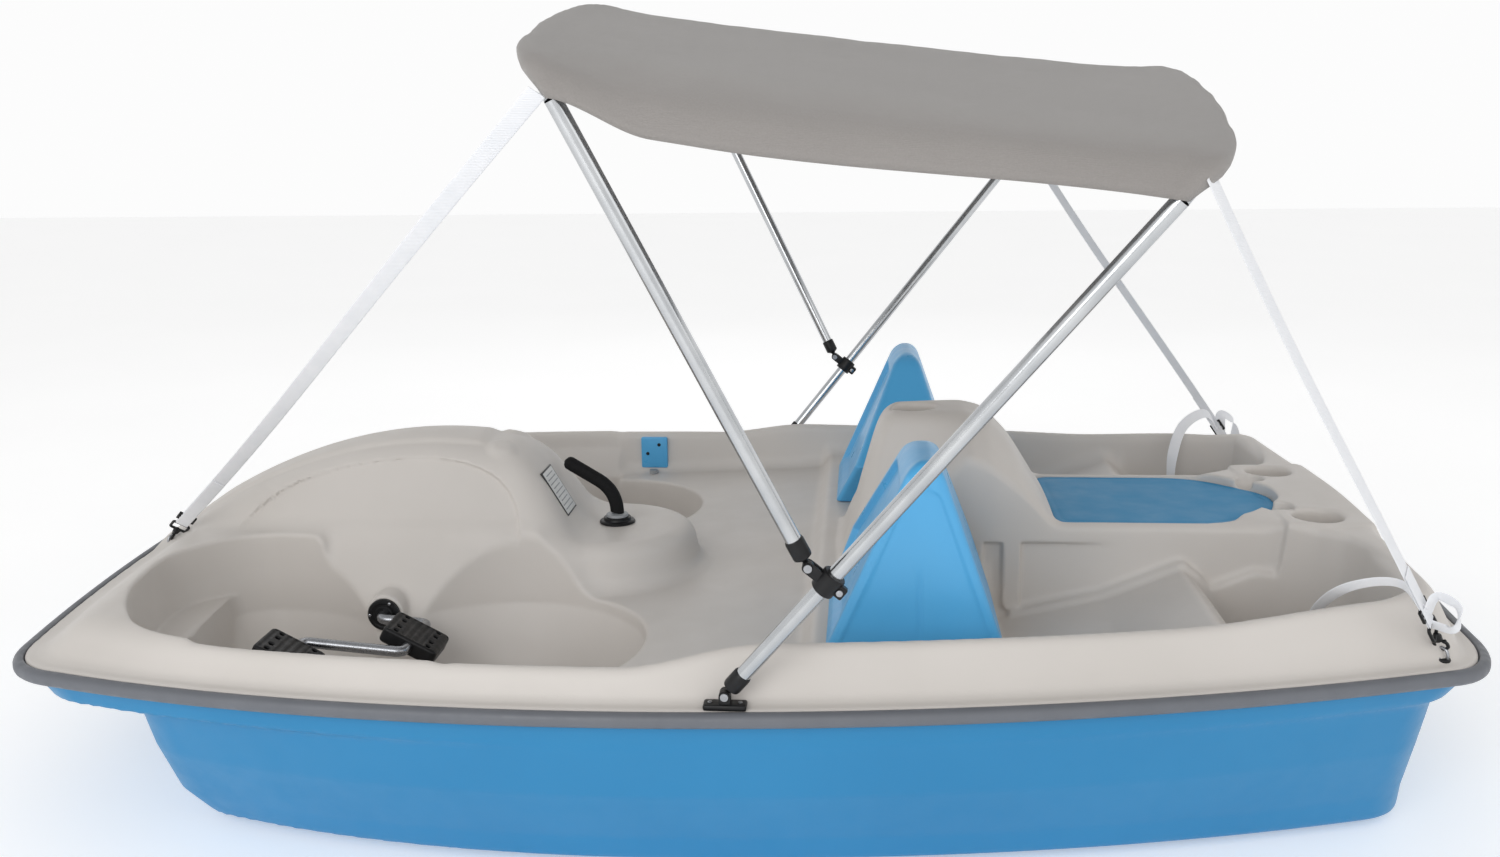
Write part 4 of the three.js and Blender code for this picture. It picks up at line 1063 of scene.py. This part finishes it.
def build_rudder():
    outline = [(0.046, 0.176), (0.046, 0.06), (0.02, 0.03), (-0.13, 0.022), (-0.158, 0.06), (-0.158, 0.176)]
    rings = [[Vector((STEER_X + x, y, z)) for x, z in outline] for y in (-0.007, 0.007)]
    blade = sharpen(bevel(loft("rudder_plate", rings, BLACK), 0.006, 3, 60))
    socket = upright("rudder_socket", [(0.12, 0.014), (0.122, 0.016), (0.18, 0.016), (0.182, 0.0145)], BLACK)
    finish_piece(join("rudder_moulding", [blade, socket]), "steering", ["rudder_blade"])


build_lever()
build_grip()
build_lever_bearing()
build_rudder()


# ---------------------------------------------------------------- cranks, bearings and pedals
def on_axle(y, radius=0.0, angle=0.0):
    return Vector((WHEEL.x + radius * math.cos(angle), y, WHEEL.z + radius * math.sin(angle)))


PIN_ANGLE = {"inner": CRANK_PHASE + math.pi, "outer": CRANK_PHASE}


def pedal_pin(which, side, y):
    return on_axle(side * y, CRANK_THROW, PIN_ANGLE[which])


def build_crank(name, side):
    crossing = sum(PEDAL_Y.values()) / 2
    end = PEDAL_Y["outer"] + PEDAL_SIZE[1] / 2 + 0.014
    path = bent([
        on_axle(side * 0.001), on_axle(side * 0.296), pedal_pin("inner", side, 0.296),
        pedal_pin("inner", side, crossing), pedal_pin("outer", side, crossing), pedal_pin("outer", side, end),
    ], 0.014)
    piece = tube(f"crank_rod_{name}", path, CRANK_RADIUS, STEEL)
    finish_piece(piece, "wheel_and_cranks", [f"crank_{name}"])


def screw_head(at, axis, sides=16, material=STEEL, grow=1.0):
    profile = [(0.0, 0.0032), (0.0006, 0.0033), (0.0014, 0.0027), (0.0019, 0.0014), (0.002, 0.0004)]
    return lathe("screw", [(run, radius * grow) for run, radius in profile], at, axis, material, sides)


def build_bearing(name, side):
    """Black flange on the hump's flank, held by three screws."""
    profile = [
        (0.24, 0.0145), (0.2703, 0.0145), (0.2703, 0.028), (0.2712, 0.029), (0.277, 0.029), (0.2795, 0.027),
        (0.28, 0.0225), (0.2785, 0.0205), (0.2785, 0.0165), (0.2798, 0.015), (0.2798, 0.0102),
    ]
    pieces = [lathe(f"crank_bush_{name}", profile, on_axle(0), Y * side, BLACK, 48)]
    pieces += [screw_head(on_axle(side * 0.2785, 0.0245, turn), Y * side) for turn in turns(3)]
    finish_piece(join(f"crank_bush_{name}", pieces), "boat", [f"crank_bearing_{name}"])


RIB_PITCH = 0.0125


def pedal_field(x, y, z):
    """A block with grips moulded across it and round holes through it, in its own axes."""
    length, width, thick = (size / 2 for size in PEDAL_SIZE)
    b, c = np.abs(y), np.abs(z)
    body = smooth_max(smooth_max(np.abs(x) - length, b - width, 0.01), c - thick, 0.006)
    row = np.abs(np.abs(x) - 0.03)
    holes = np.minimum(np.hypot(row, b - 0.013), np.hypot(row, b - 0.031)) - 0.0042
    ribs = 0.0012 * ease(-0.3, 0.5, np.sin((x - length) * 2 * math.pi / RIB_PITCH)) * (b < width - 0.006)
    return smooth_max(body + ribs * (c > thick - 0.004) * (row > 0.008), -holes, 0.002)


def build_pedal(which, name, side):
    reach = Vector(PEDAL_SIZE) / 2 + Vector((0.004, 0.004, 0.004))
    step = 0.0017
    piece = moulded(f"{which}_pedal_block_{name}", pedal_field, -reach, reach, step, BLACK)
    place = Matrix.Translation(pedal_pin(which, side, PEDAL_Y[which]))
    piece.data.transform(place @ Matrix.Rotation(PEDAL_TILT, 4, "Y"))
    finish_piece(piece, f"{which}_pedal_{name}_body", [f"{which}_pedal_{name}"])


for each_side in SIDES.items():
    build_crank(*each_side)
    build_bearing(*each_side)
    for each_pedal in PEDAL_Y:
        build_pedal(each_pedal, *each_side)


# ---------------------------------------------------------------- canopy bows
MAIN_RISE = Vector((MAIN_TOP.x - BOW_HINGE.x, 0, MAIN_TOP.z - BOW_HINGE.z)).normalized()
AHEAD = Vector((MAIN_RISE.z, 0, -MAIN_RISE.x))
JAW_PIVOT = BOW_HINGE.lerp(MAIN_TOP, JAW_ALONG) + AHEAD * JAW_OFFSET
SECOND_RISE = Vector((SECOND_TOP.x - JAW_PIVOT.x, 0, SECOND_TOP.z - JAW_PIVOT.z)).normalized()
CROWN = [(1, 0), (0.99, 0.2), (0.95, 0.33), (0.84, 0.46), (0.68, 0.62), (0.5, 0.76), (0.27, 0.91)]


def spline(points, steps):
    """A centripetal Catmull-Rom curve through the points."""
    points = [points[0] * 2 - points[1], *points, points[-1] * 2 - points[-2]]
    path = []
    for four in zip(points, points[1:], points[2:], points[3:]):
        knots = [0.0]
        for a, b in zip(four, four[1:]):
            knots.append(knots[-1] + max((b - a).length, 1e-6) ** 0.5)
        for i in range(steps):
            t = lerp(knots[1], knots[2], i / steps)
            level = four
            for spans in ([(0, 1), (1, 2), (2, 3)], [(0, 2), (1, 3)], [(1, 2)]):
                shares = [(t - knots[start]) / (knots[end] - knots[start]) for start, end in spans]
                level = [a.lerp(b, share) for a, b, share in zip(level, level[1:], shares)]
            path.append(level[0])
    return [*path, points[-2]]


def crown_line(top, rise, crown):
    half = [Vector((top.x, across * top.y, top.z)) + rise * up * crown for across, up in CROWN]
    middle = Vector((top.x, 0, top.z)) + rise * crown
    return spline([*half, middle, *[mirrored(p, -1) for p in reversed(half)]], 8)


MAIN_LINE = crown_line(MAIN_TOP, MAIN_RISE, MAIN_CROWN)
SECOND_LINE = crown_line(SECOND_TOP, SECOND_RISE, SECOND_CROWN)


def build_leg(which, name, side, pivot, top):
    low, high = mirrored(pivot, side), mirrored(top, side)
    points = dense([low + (high - low).normalized() * 0.03, high], 0.05)
    piece = tube(f"{which}_bow_tube_{name}", points, TUBE, ALUMINIUM, 32)
    finish_piece(piece, f"{which}_bow", [f"{which}_bow_leg_{name}"])


def build_foot(which, name, side, pivot, top):
    """Black end fitting: a sleeve over the tube, necked down to an eye round the pivot."""
    low, high = mirrored(pivot, side), mirrored(top, side)
    profile = [
        (0.0045, 0.0035), (0.01, 0.0045), (0.0135, 0.01), (0.015, 0.0125), (0.018, 0.0132), (0.04, 0.0132),
        (0.0425, 0.0122),
    ]
    sleeve = lathe("sleeve", profile, low, high - low, BLACK, 28)
    rim = [(0, 0.007), (0.001, 0.008), (0.008, 0.008), (0.009, 0.007)]
    eye = lathe("eye", rim, low - Y * 0.0045, Y, BLACK, 28)
    piece = join(f"{which}_bow_end_{name}", [sleeve, eye])
    finish_piece(piece, f"{which}_bow", [f"{which}_bow_foot_{name}"])


def build_bolt(name, at, body, node, half=0.0125):
    """A cross bolt along Y: domed head on one side and a nut on the other."""
    profile = [
        (0, 0.0008), (0.0006, 0.0032), (0.0022, 0.0052), (0.003, 0.0054), (0.003, 0.003),
        (2 * half - 0.004, 0.003), (2 * half - 0.004, 0.0056), (2 * half, 0.0056),
    ]
    finish_piece(lathe(name, profile, at - Y * half, Y, STEEL, 24), body, [node])


def cheek(at, way, near, far):
    """One of the two round ears either side of a pivot."""
    profile = [(0, 0.008), (far - near - 0.001, 0.008), (far - near, 0.0068)]
    return lathe("ear", profile, at + Y * way * near, Y * way, BLACK, 28)


def ear_block(name, way, low, high, near, far, edge):
    """A block beside a pivot; low and high are its (x, z) corners, near and far its reach along Y."""
    inner, outer = sorted((way * near, way * far))
    return block(name, (low[0], inner, low[1]), (high[0], outer, high[1]), BLACK, edge)


def build_deck_hinge(name, side, near=0.0052, far=0.009):
    """A base on the gunwale with two screws and two ears round the main bow's eye."""
    pieces = [block("base", (-0.03, -0.012, -0.0205), (0.03, 0.012, -0.0115), BLACK, 0.003, 3)]
    for way in (-1, 1):
        pieces.append(ear_block("post", way, (-0.008, -0.014), (0.008, 0), near, far, 0.0008))
        pieces.append(cheek(Vector(), way, near, far))
        pieces.append(screw_head(Vector((way * 0.021, 0, -0.0116)), Z))
    piece = join(f"gunwale_hinge_{name}", pieces)
    piece.data.transform(Matrix.Translation(mirrored(BOW_HINGE, side)))
    finish_piece(piece, "boat", [f"deck_hinge_{name}"])


def build_jaw(name, side, near=0.0052, far=0.0092):
    """A split ring round the main bow's leg, its clamp screw, and two arms out to the second bow's pivot."""
    foot, top = mirrored(BOW_HINGE, side), mirrored(MAIN_TOP, side)
    middle, along = foot.lerp(top, JAW_ALONG), (top - foot).normalized()
    turn = Matrix([[AHEAD.x, 0, MAIN_RISE.x], [0, 1, 0], [AHEAD.z, 0, MAIN_RISE.z]]).to_4x4()
    profile = [(0, 0.0112), (0, 0.0155), (0.0015, 0.017), (0.0285, 0.017), (0.03, 0.0155), (0.03, 0.0112)]
    shank = [(0, 0.003), (0.0165, 0.003), (0.0165, 0.0048), (0.019, 0.0044), (0.0196, 0.001)]
    lug = block("lug", (-0.01, -0.0075, -0.009), (0.01, 0.0075, 0.009), BLACK, 0.003, 3)
    lug.data.transform(Matrix.Translation(middle - AHEAD * 0.017) @ turn)
    pieces = [
        lathe("ring", profile, middle - along * 0.015, along, BLACK, 36), lug,
        lathe("clamp_screw", shank, middle - AHEAD * 0.019 - Y * 0.008, Y, STEEL, 20),
    ]
    for way in (-1, 1):
        arm = ear_block("arm", way, (0.008, -0.008), (JAW_OFFSET, 0.008), near, far, 0.0012)
        arm.data.transform(Matrix.Translation(middle) @ turn)
        pieces += [arm, cheek(mirrored(JAW_PIVOT, side), way, near, far)]
    finish_piece(join(f"jaw_clamp_{name}", pieces), "main_bow", [f"jaw_slide_{name}"])


BOWS = {"main": (BOW_HINGE, MAIN_TOP, MAIN_LINE), "second": (JAW_PIVOT, SECOND_TOP, SECOND_LINE)}
for each_name, each_side in SIDES.items():
    for build in (build_leg, build_foot):
        for each_bow, (each_pivot, each_top, _) in BOWS.items():
            build(each_bow, each_name, each_side, each_pivot, each_top)
    build_deck_hinge(each_name, each_side)
    build_jaw(each_name, each_side)
    build_bolt(f"hinge_bolt_{each_name}", mirrored(BOW_HINGE, each_side), "boat", f"hinge_pin_{each_name}")
    build_bolt(f"jaw_bolt_{each_name}", mirrored(JAW_PIVOT, each_side), "main_bow", f"jaw_screw_{each_name}")
for each_bow, (_, _, each_line) in BOWS.items():
    crown = tube(f"{each_bow}_bow_arch", each_line, TUBE, ALUMINIUM, 32)
    finish_piece(crown, f"{each_bow}_bow", [f"{each_bow}_bow_crown"])


# ---------------------------------------------------------------- canopy cloth
SKIRT, OVERHANG, FLAP = 0.002, 0.024, 0.022
CLOTH_OUT, CLOTH_THICK = 0.0188, 0.0012
DIP, SAG = 0.028, 0.009
HEM_BAND, SEAM_IN = 0.015, 0.068
ACROSS, LENGTHWISE = 150, 110


def resample(path, count):
    """The path as evenly spaced points."""
    points = np.array(path)
    run = np.concatenate([[0], np.cumsum(np.linalg.norm(np.diff(points, axis=0), axis=1))])
    at = np.linspace(0, run[-1], count + 1)
    return np.stack([np.interp(at, run, points[:, k]) for k in range(3)], axis=1)


def unit(vectors):
    return vectors / np.linalg.norm(vectors, axis=-1, keepdims=True)


def bow_stations(line, top, foot):
    """Points over one bow from hem to hem, and the way out of the bow's arch at each."""
    down = (foot - top).normalized() * SKIRT
    points = resample([top + down, *line, mirrored(top + down, -1)], ACROSS)
    run = np.gradient(points, axis=0)
    rise = unit(np.array(top - foot) * (1, 0, 1))
    return points, unit(np.cross(run, np.cross([0.0, 1.0, 0.0], rise)))


def section_line():
    """The cloth's section over both bows, aft to fore: run along it, lift off it, and the bows' distance."""
    start = [(0, -OVERHANG, -FLAP), (0, -OVERHANG, -0.004), (0, -0.0215, 0.0085), (0, -0.0125, 0.016),
             (0, 0.0, CLOTH_OUT), (0, 0.016, 0.018), (0, 0.04, 0.015)]
    end = [(1, -run, lift) for _, run, lift in reversed(start)]
    middle = [(s, 0, 0.0125) for s in (0.15, 0.3, 0.5, 0.7, 0.85)]
    length = (SECOND_TOP - MAIN_TOP).length
    points = [Vector((share * length + run, lift, 0)) for share, run, lift in [*start, *middle, *end]]
    line = resample(spline(points, 10), LENGTHWISE)
    return line[:, 0], line[:, 1], length


def ripple(x, y, z):
    """Slow uneven puckers in metres, from crossed sine waves."""
    return (np.sin(31 * x + 17 * y + 3) * np.sin(23 * z - 19 * y + 1) + 0.6 * np.sin(57 * x - 41 * z + 29 * y)
            + 0.4 * np.sin(97 * x + 83 * z - 71 * y + 2))


def column(values):
    """One number for each station across the cloth, ready to meet rows along it."""
    return np.reshape(values, (-1, 1, 1))


def canopy_points():
    """The cloth's outer face over both bows: it sags between them, and has puckers, seams and a hem."""
    aft, aft_out = bow_stations(MAIN_LINE, MAIN_TOP, BOW_HINGE)
    fore, fore_out = bow_stations(SECOND_LINE, SECOND_TOP, JAW_PIVOT)
    run, lift, length = section_line()
    share = np.clip(run / length, 0, 1)[None, :, None]
    past = (run - share[0, :, 0] * length)[None, :, None]
    lift = lift[None, :, None]
    aft, fore, aft_out, fore_out = (points[:, None, :] for points in (aft, fore, aft_out, fore_out))
    out = unit(lerp(aft_out, fore_out, share))
    girth = length_of(aft[:, 0])
    across = np.linspace(0, girth, ACROSS + 1)
    from_hem = column(np.minimum(across, across[::-1]))
    grown = ease(-0.012, 0.05, from_hem)
    drop = np.minimum(lift, 0) * grown + np.maximum(lift, 0)
    points = lerp(aft, fore, share) + unit(fore - aft) * past * lerp(0.3, 1, grown) + out * drop
    sag = np.sin(np.pi * share) ** 0.6
    dip = ease(0.0, 0.75, share) * ease(1.0, 0.84, share)
    low = ease(0.14, 0.0, from_hem)
    points = points + np.array([0, 0, -1]) * (DIP * low * dip + SAG * (1 - low) * sag)
    folds = ripple(*np.moveaxis(points, -1, 0))[..., None]
    corner = ease(0.16, 0.02, from_hem) * ease(0.14, 0.0, np.minimum(share, 1 - share))
    along = np.arange(LENGTHWISE + 1) * (run[-1] / LENGTHWISE)
    to_edge = np.minimum(along, along[::-1])[None, :, None]
    seam = 0.0012 * ease(0.005, 0.0, np.abs(to_edge - SEAM_IN))
    edge = np.minimum(from_hem, to_edge + 0.004)
    band = 0.0014 * ease(HEM_BAND + 0.002, HEM_BAND - 0.002, edge)
    stitch = 0.0008 * ease(0.004, 0.0, np.abs(edge - HEM_BAND - 0.002))
    return points + out * (folds * (0.0006 + 0.0016 * corner) - seam + band - stitch)


def length_of(line):
    return float(np.linalg.norm(np.diff(line, axis=0), axis=1).sum())


def build_canopy():
    points = canopy_points()
    rows, columns = points.shape[:2]
    index = np.arange(rows * columns).reshape(rows, columns)
    quads = np.stack([index[:-1, :-1], index[1:, :-1], index[1:, 1:], index[:-1, 1:]], axis=-1).reshape(-1, 4)
    cloth = big_object("canopy_cloth", points.reshape(-1, 3), quads, FABRIC)
    fix_normals(cloth)
    solid = cloth.modifiers.new("thickness", "SOLIDIFY")
    solid.thickness, solid.offset = CLOTH_THICK, -1
    apply_modifiers(cloth)
    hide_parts("canopy")
    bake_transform(cloth)


build_canopy()


# ---------------------------------------------------------------- straps, hooks and pad eyes
BOW_EYE, STERN_EYE = Vector((1.124, 0.086, 0.306)), Vector((-1.042, 0.572, 0.306))
FORE_CORNER, AFT_CORNER = Vector((0.187, 0.924, 1.114)), Vector((-0.588, 0.936, 1.012))
STRAP_WIDTH, STRAP_THICK = 0.024, 0.0016
HOOK_REACH, EYE_RISE, EYE_SPAN, EYE_WIRE = 0.062, 0.009, 0.009, 0.0024


def ribbon(name, path, across, width=STRAP_WIDTH):
    """A flat strap along a path; across is its width's direction, made square to the path."""
    rings = []
    for point, (tangent, _, _) in zip(path, frame_along(path)):
        wide = (across - tangent * across.dot(tangent)).normalized()
        out = wide.cross(tangent)
        ring = []
        for turn in turns(16):
            c, s = math.cos(turn), math.sin(turn)
            ring.append(point + wide * math.copysign(abs(c) ** 0.35, c) * width / 2
                        + out * math.copysign(abs(s) ** 0.8, s) * STRAP_THICK / 2)
        rings.append(ring)
    return sharpen(loft(name, rings, STRAP), 60)


def slack(path, across, hang=0.006, twist=0.003):
    """A nearly taut strap: a slight hang and a slow sideways wave of its middle."""
    count = len(path) - 1
    halves = [math.pi * i / count for i in range(count + 1)]
    return [p - Z * hang * math.sin(t) + across * twist * math.sin(2 * t) for p, t in zip(path, halves)]


def strap_ends(eye, corner):
    """The top of the eye's wire, the way up the strap, and the strap's lower end."""
    crown = eye + Z * EYE_RISE
    along = (corner - crown).normalized()
    return crown, along, crown + along * HOOK_REACH


def strap_run(eye, corner, across):
    """The strap from the hook up to the cloth, turned back on itself for its first sixth."""
    _, along, start = strap_ends(eye, corner)
    path = slack(dense([start, corner + along * 0.004], 0.02), across)
    turn_back = [p + across.cross(along) * 0.0022 for p in path[: max(4, len(path) // 6)]]
    return [ribbon("run", path, across), ribbon("doubled", turn_back, across, STRAP_WIDTH * 0.96)]


def buckle(centre, along, across):
    """A flat plastic ladder buckle the strap threads through: three bars between two sides."""
    out = across.cross(along).normalized()
    turn = Matrix([[along[i], across[i], out[i]] for i in range(3)]).to_4x4()
    deep = 0.0022
    spans = [(run - 0.0018, run + 0.0018, -0.0155, 0.0155) for run in (-0.011, 0.0, 0.011)]
    spans += [(-0.0128, 0.0128, *sorted((edge * 0.0135, edge * 0.0165))) for edge in (-1, 1)]
    bars = [block("bar", (x0, y0, -deep), (x1, y1, deep), BLACK, 0.0008) for x0, x1, y0, y1 in spans]
    for bar in bars:
        bar.data.transform(Matrix.Translation(centre) @ turn)
    return bars


def build_hook(name, node, eye, corner, across):
    """A snap hook: bent gate hook round the pad eye's wire, a swivel, and the bar the strap is sewn round."""
    crown, along, start = strap_ends(eye, corner)
    out = across.cross(along).normalized()
    centre = crown + along * 0.0068
    neck = centre + along * 0.011
    bow = [centre + (along * math.cos(t) + out * math.sin(t)) * lerp(0.009, 0.0105, abs(math.cos(t)))
           for t in np.linspace(math.radians(28), math.radians(332), 28)]
    gate = [bow[0], bow[0].lerp(bow[-1], 0.5) + along * 0.0015, bow[-1]]
    swivel = [(0, 0.0035), (0.002, 0.006), (0.01, 0.0066), (0.0125, 0.005), (0.016, 0.0036)]
    thumb = [(0, 0.0006), (0.0008, 0.0022), (0.004, 0.0024), (0.0052, 0.001)]
    half = STRAP_WIDTH / 2 + 0.003
    low, high = neck + along * 0.016, start - along * 0.002
    bail = [low - across * 0.002, low - across * half, high - across * half, high + across * half,
            low + across * half, low + across * 0.002]
    pieces = [
        tube("hook", bow, 0.0026, BLACK, 14),
        tube("gate", dense(gate, 0.002), 0.0018, BLACK, 12),
        lathe("swivel", swivel, neck, along, BLACK, 24),
        lathe("thumb", thumb, centre + along * 0.01 + out * 0.005, out, BLACK, 14),
        tube("bail", bent(bail, 0.005, 6), 0.0026, BLACK, 14),
        *buckle(start + along * 0.03, along, across),
    ]
    finish_piece(join(name, pieces), "boat", [node])


def build_eye(name, node, eye, corner):
    """Pad eye: a round foot with two screws under a bent wire."""
    heading = (corner - eye).normalized()
    across = Vector((-heading.y, heading.x, 0)).normalized()
    shape = [(-1, -1.0), (-1, 0), (-0.7, 0.7), (0, 1), (0.7, 0.7), (1, 0), (1, -1.0)]
    wire = spline([eye + across * run * EYE_SPAN + Z * rise * EYE_RISE for run, rise in shape], 6)
    rim = [(0, 0.0125), (0.006, 0.013), (0.0085, 0.012), (0.0095, 0.01)]
    pieces = [lathe("foot", rim, eye - Z * 0.015, Z, BLACK, 36), tube("wire", wire, EYE_WIRE, STEEL, 14)]
    pieces += [screw_head(eye + Z.cross(across) * way * 0.0075 - Z * 0.0058, Z) for way in (-1, 1)]
    finish_piece(join(name, pieces), "boat", [node])


def across_of(eye, corner, tilt):
    """The strap's width direction: square to its run, turned from upright by tilt."""
    along = (corner - eye).normalized()
    return Matrix.Rotation(tilt, 3, along) @ along.cross(Y).normalized()


def loose_end(name, side, points):
    """A stray length of the strap through given points, its face turned up and outboard."""
    return ribbon(name, spline(points, 10), Vector((0.25, side * 0.6, 0.75)), STRAP_WIDTH * 0.94)


def build_aft_strap(name, side):
    eye, corner = mirrored(STERN_EYE, side), mirrored(AFT_CORNER, side)
    across = across_of(eye, corner, side * math.radians(50))
    build_hook(f"aft_snap_hook_{name}", f"aft_hook_{name}", eye, corner, across)
    build_eye(f"stern_eye_{name}", f"stern_pad_eye_{name}", eye, corner)
    _, along, start = strap_ends(eye, corner)
    top = start + along * 0.03
    tail = [(0.03, -0.012, 0.034), (0.086, -0.052, 0.016), (0.118, -0.1, -0.04), (0.126, -0.128, -0.12)]
    loop = [(-0.012, 0.016, 0.026), (-0.038, 0.018, 0.01), (-0.04, 0.006, -0.026)]
    tail, loop = ([top + mirrored(Vector(p), side) for p in points] for points in (tail, loop))
    pieces = [*strap_run(eye, corner, across), loose_end("tail", side, [top, *tail]),
              loose_end("loop", side, [top - along * 0.01, *loop, top - along * 0.034])]
    piece = join(f"aft_webbing_{name}", pieces)
    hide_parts(f"aft_strap_{name}")
    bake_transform(piece)


def build_fore_strap():
    across = across_of(BOW_EYE, FORE_CORNER, math.radians(25))
    build_hook("fore_snap_hook", "fore_hook", BOW_EYE, FORE_CORNER, across)
    build_eye("bow_eye", "bow_pad_eye", BOW_EYE, FORE_CORNER)
    piece = join("fore_webbing", strap_run(BOW_EYE, FORE_CORNER, across))
    finish_piece(piece, "second_bow", ["fore_strap"])
    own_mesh(piece)


build_fore_strap()
for each_side in SIDES.items():
    build_aft_strap(*each_side)


# ---------------------------------------------------------------- small fittings
def box_of(node):
    """A CAD node's low and high corners and its middle."""
    low, high = (Vector(corner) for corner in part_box(node))
    return low, high, (low + high) / 2


def build_bracket():
    low, high, middle = box_of("side_bracket")
    pieces = [block("plate", low + Y * 0.001, high, SEAT, 0.004, 3)]
    for x, z in ((-0.012, 0.02), (0.016, -0.002)):
        pieces.append(screw_head(Vector((middle.x + x, high.y - 0.0002, middle.z + z)), Y, 20, BLACK, 1.3))
    finish_piece(join("side_bracket_moulding", pieces), "boat", ["side_bracket"])


def build_stub():
    low, high, middle = box_of("bracket_stub")
    profile = [(0, 0.008), (0.0015, 0.0095), (0.006, 0.01), (high.z - low.z, 0.01)]
    stub = lathe("stub_moulding", profile, Vector((middle.x, middle.y, low.z)), Z, GREY)
    finish_piece(stub, "boat", ["bracket_stub"])


def build_plate(front=-0.0032):
    """A blank printed plate: dark border and plain bars in place of any lettering."""
    spans = [(INK, 0.0375, -0.0475, 0.0475, front, 0.0006, 0.0004),
             (PAPER, 0.0345, -0.0445, 0.0445, front - 0.0003, front, 0.0001)]
    for index in range(9):
        height = 0.036 - index * 0.009
        half = 0.029 if index % 3 else 0.024
        spans.append((GREY, half, height - 0.0011, height + 0.0011, front - 0.0004, front, 0.0001))
    pieces = [block("sheet", (near, -half, low), (far, half, high), material, edge)
              for material, half, low, high, near, far, edge in spans]
    plate = join("blank_plate", pieces)
    lean = Matrix.Rotation(math.radians(30.4), 4, "Y")
    plate.data.transform(Matrix.Translation((0.38, 0.04, 0.398)) @ lean)
    finish_piece(plate, "boat", ["info_plate"])


def build_plug():
    low, high, middle = box_of("drain_plug")
    profile = [(0, 0.01), (0.0005, 0.02), (0.002, 0.0236), (0.006, 0.024), (0.012, 0.024), (0.0121, 0.0117),
               (high.x - low.x, 0.0117)]
    plug = lathe("drain_plug_moulding", profile, Vector((low.x, middle.y, middle.z)), X, BLACK)
    finish_piece(plug, "boat", ["drain_plug"])


def build_foam(name):
    low, high, _ = box_of(f"foam_block_{name}")
    piece = block(f"buoyancy_foam_{name}", low, high, FOAM, 0.012, 4)
    finish_piece(piece, "boat", [f"foam_block_{name}"])


build_bracket()
build_stub()
build_plate()
build_plug()
for each_name in SIDES:
    build_foam(each_name)

for kept in ("paddle_wheel", "rudder_bush"):
    for material_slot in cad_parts[kept].material_slots:
        material_slot.material = BLACK
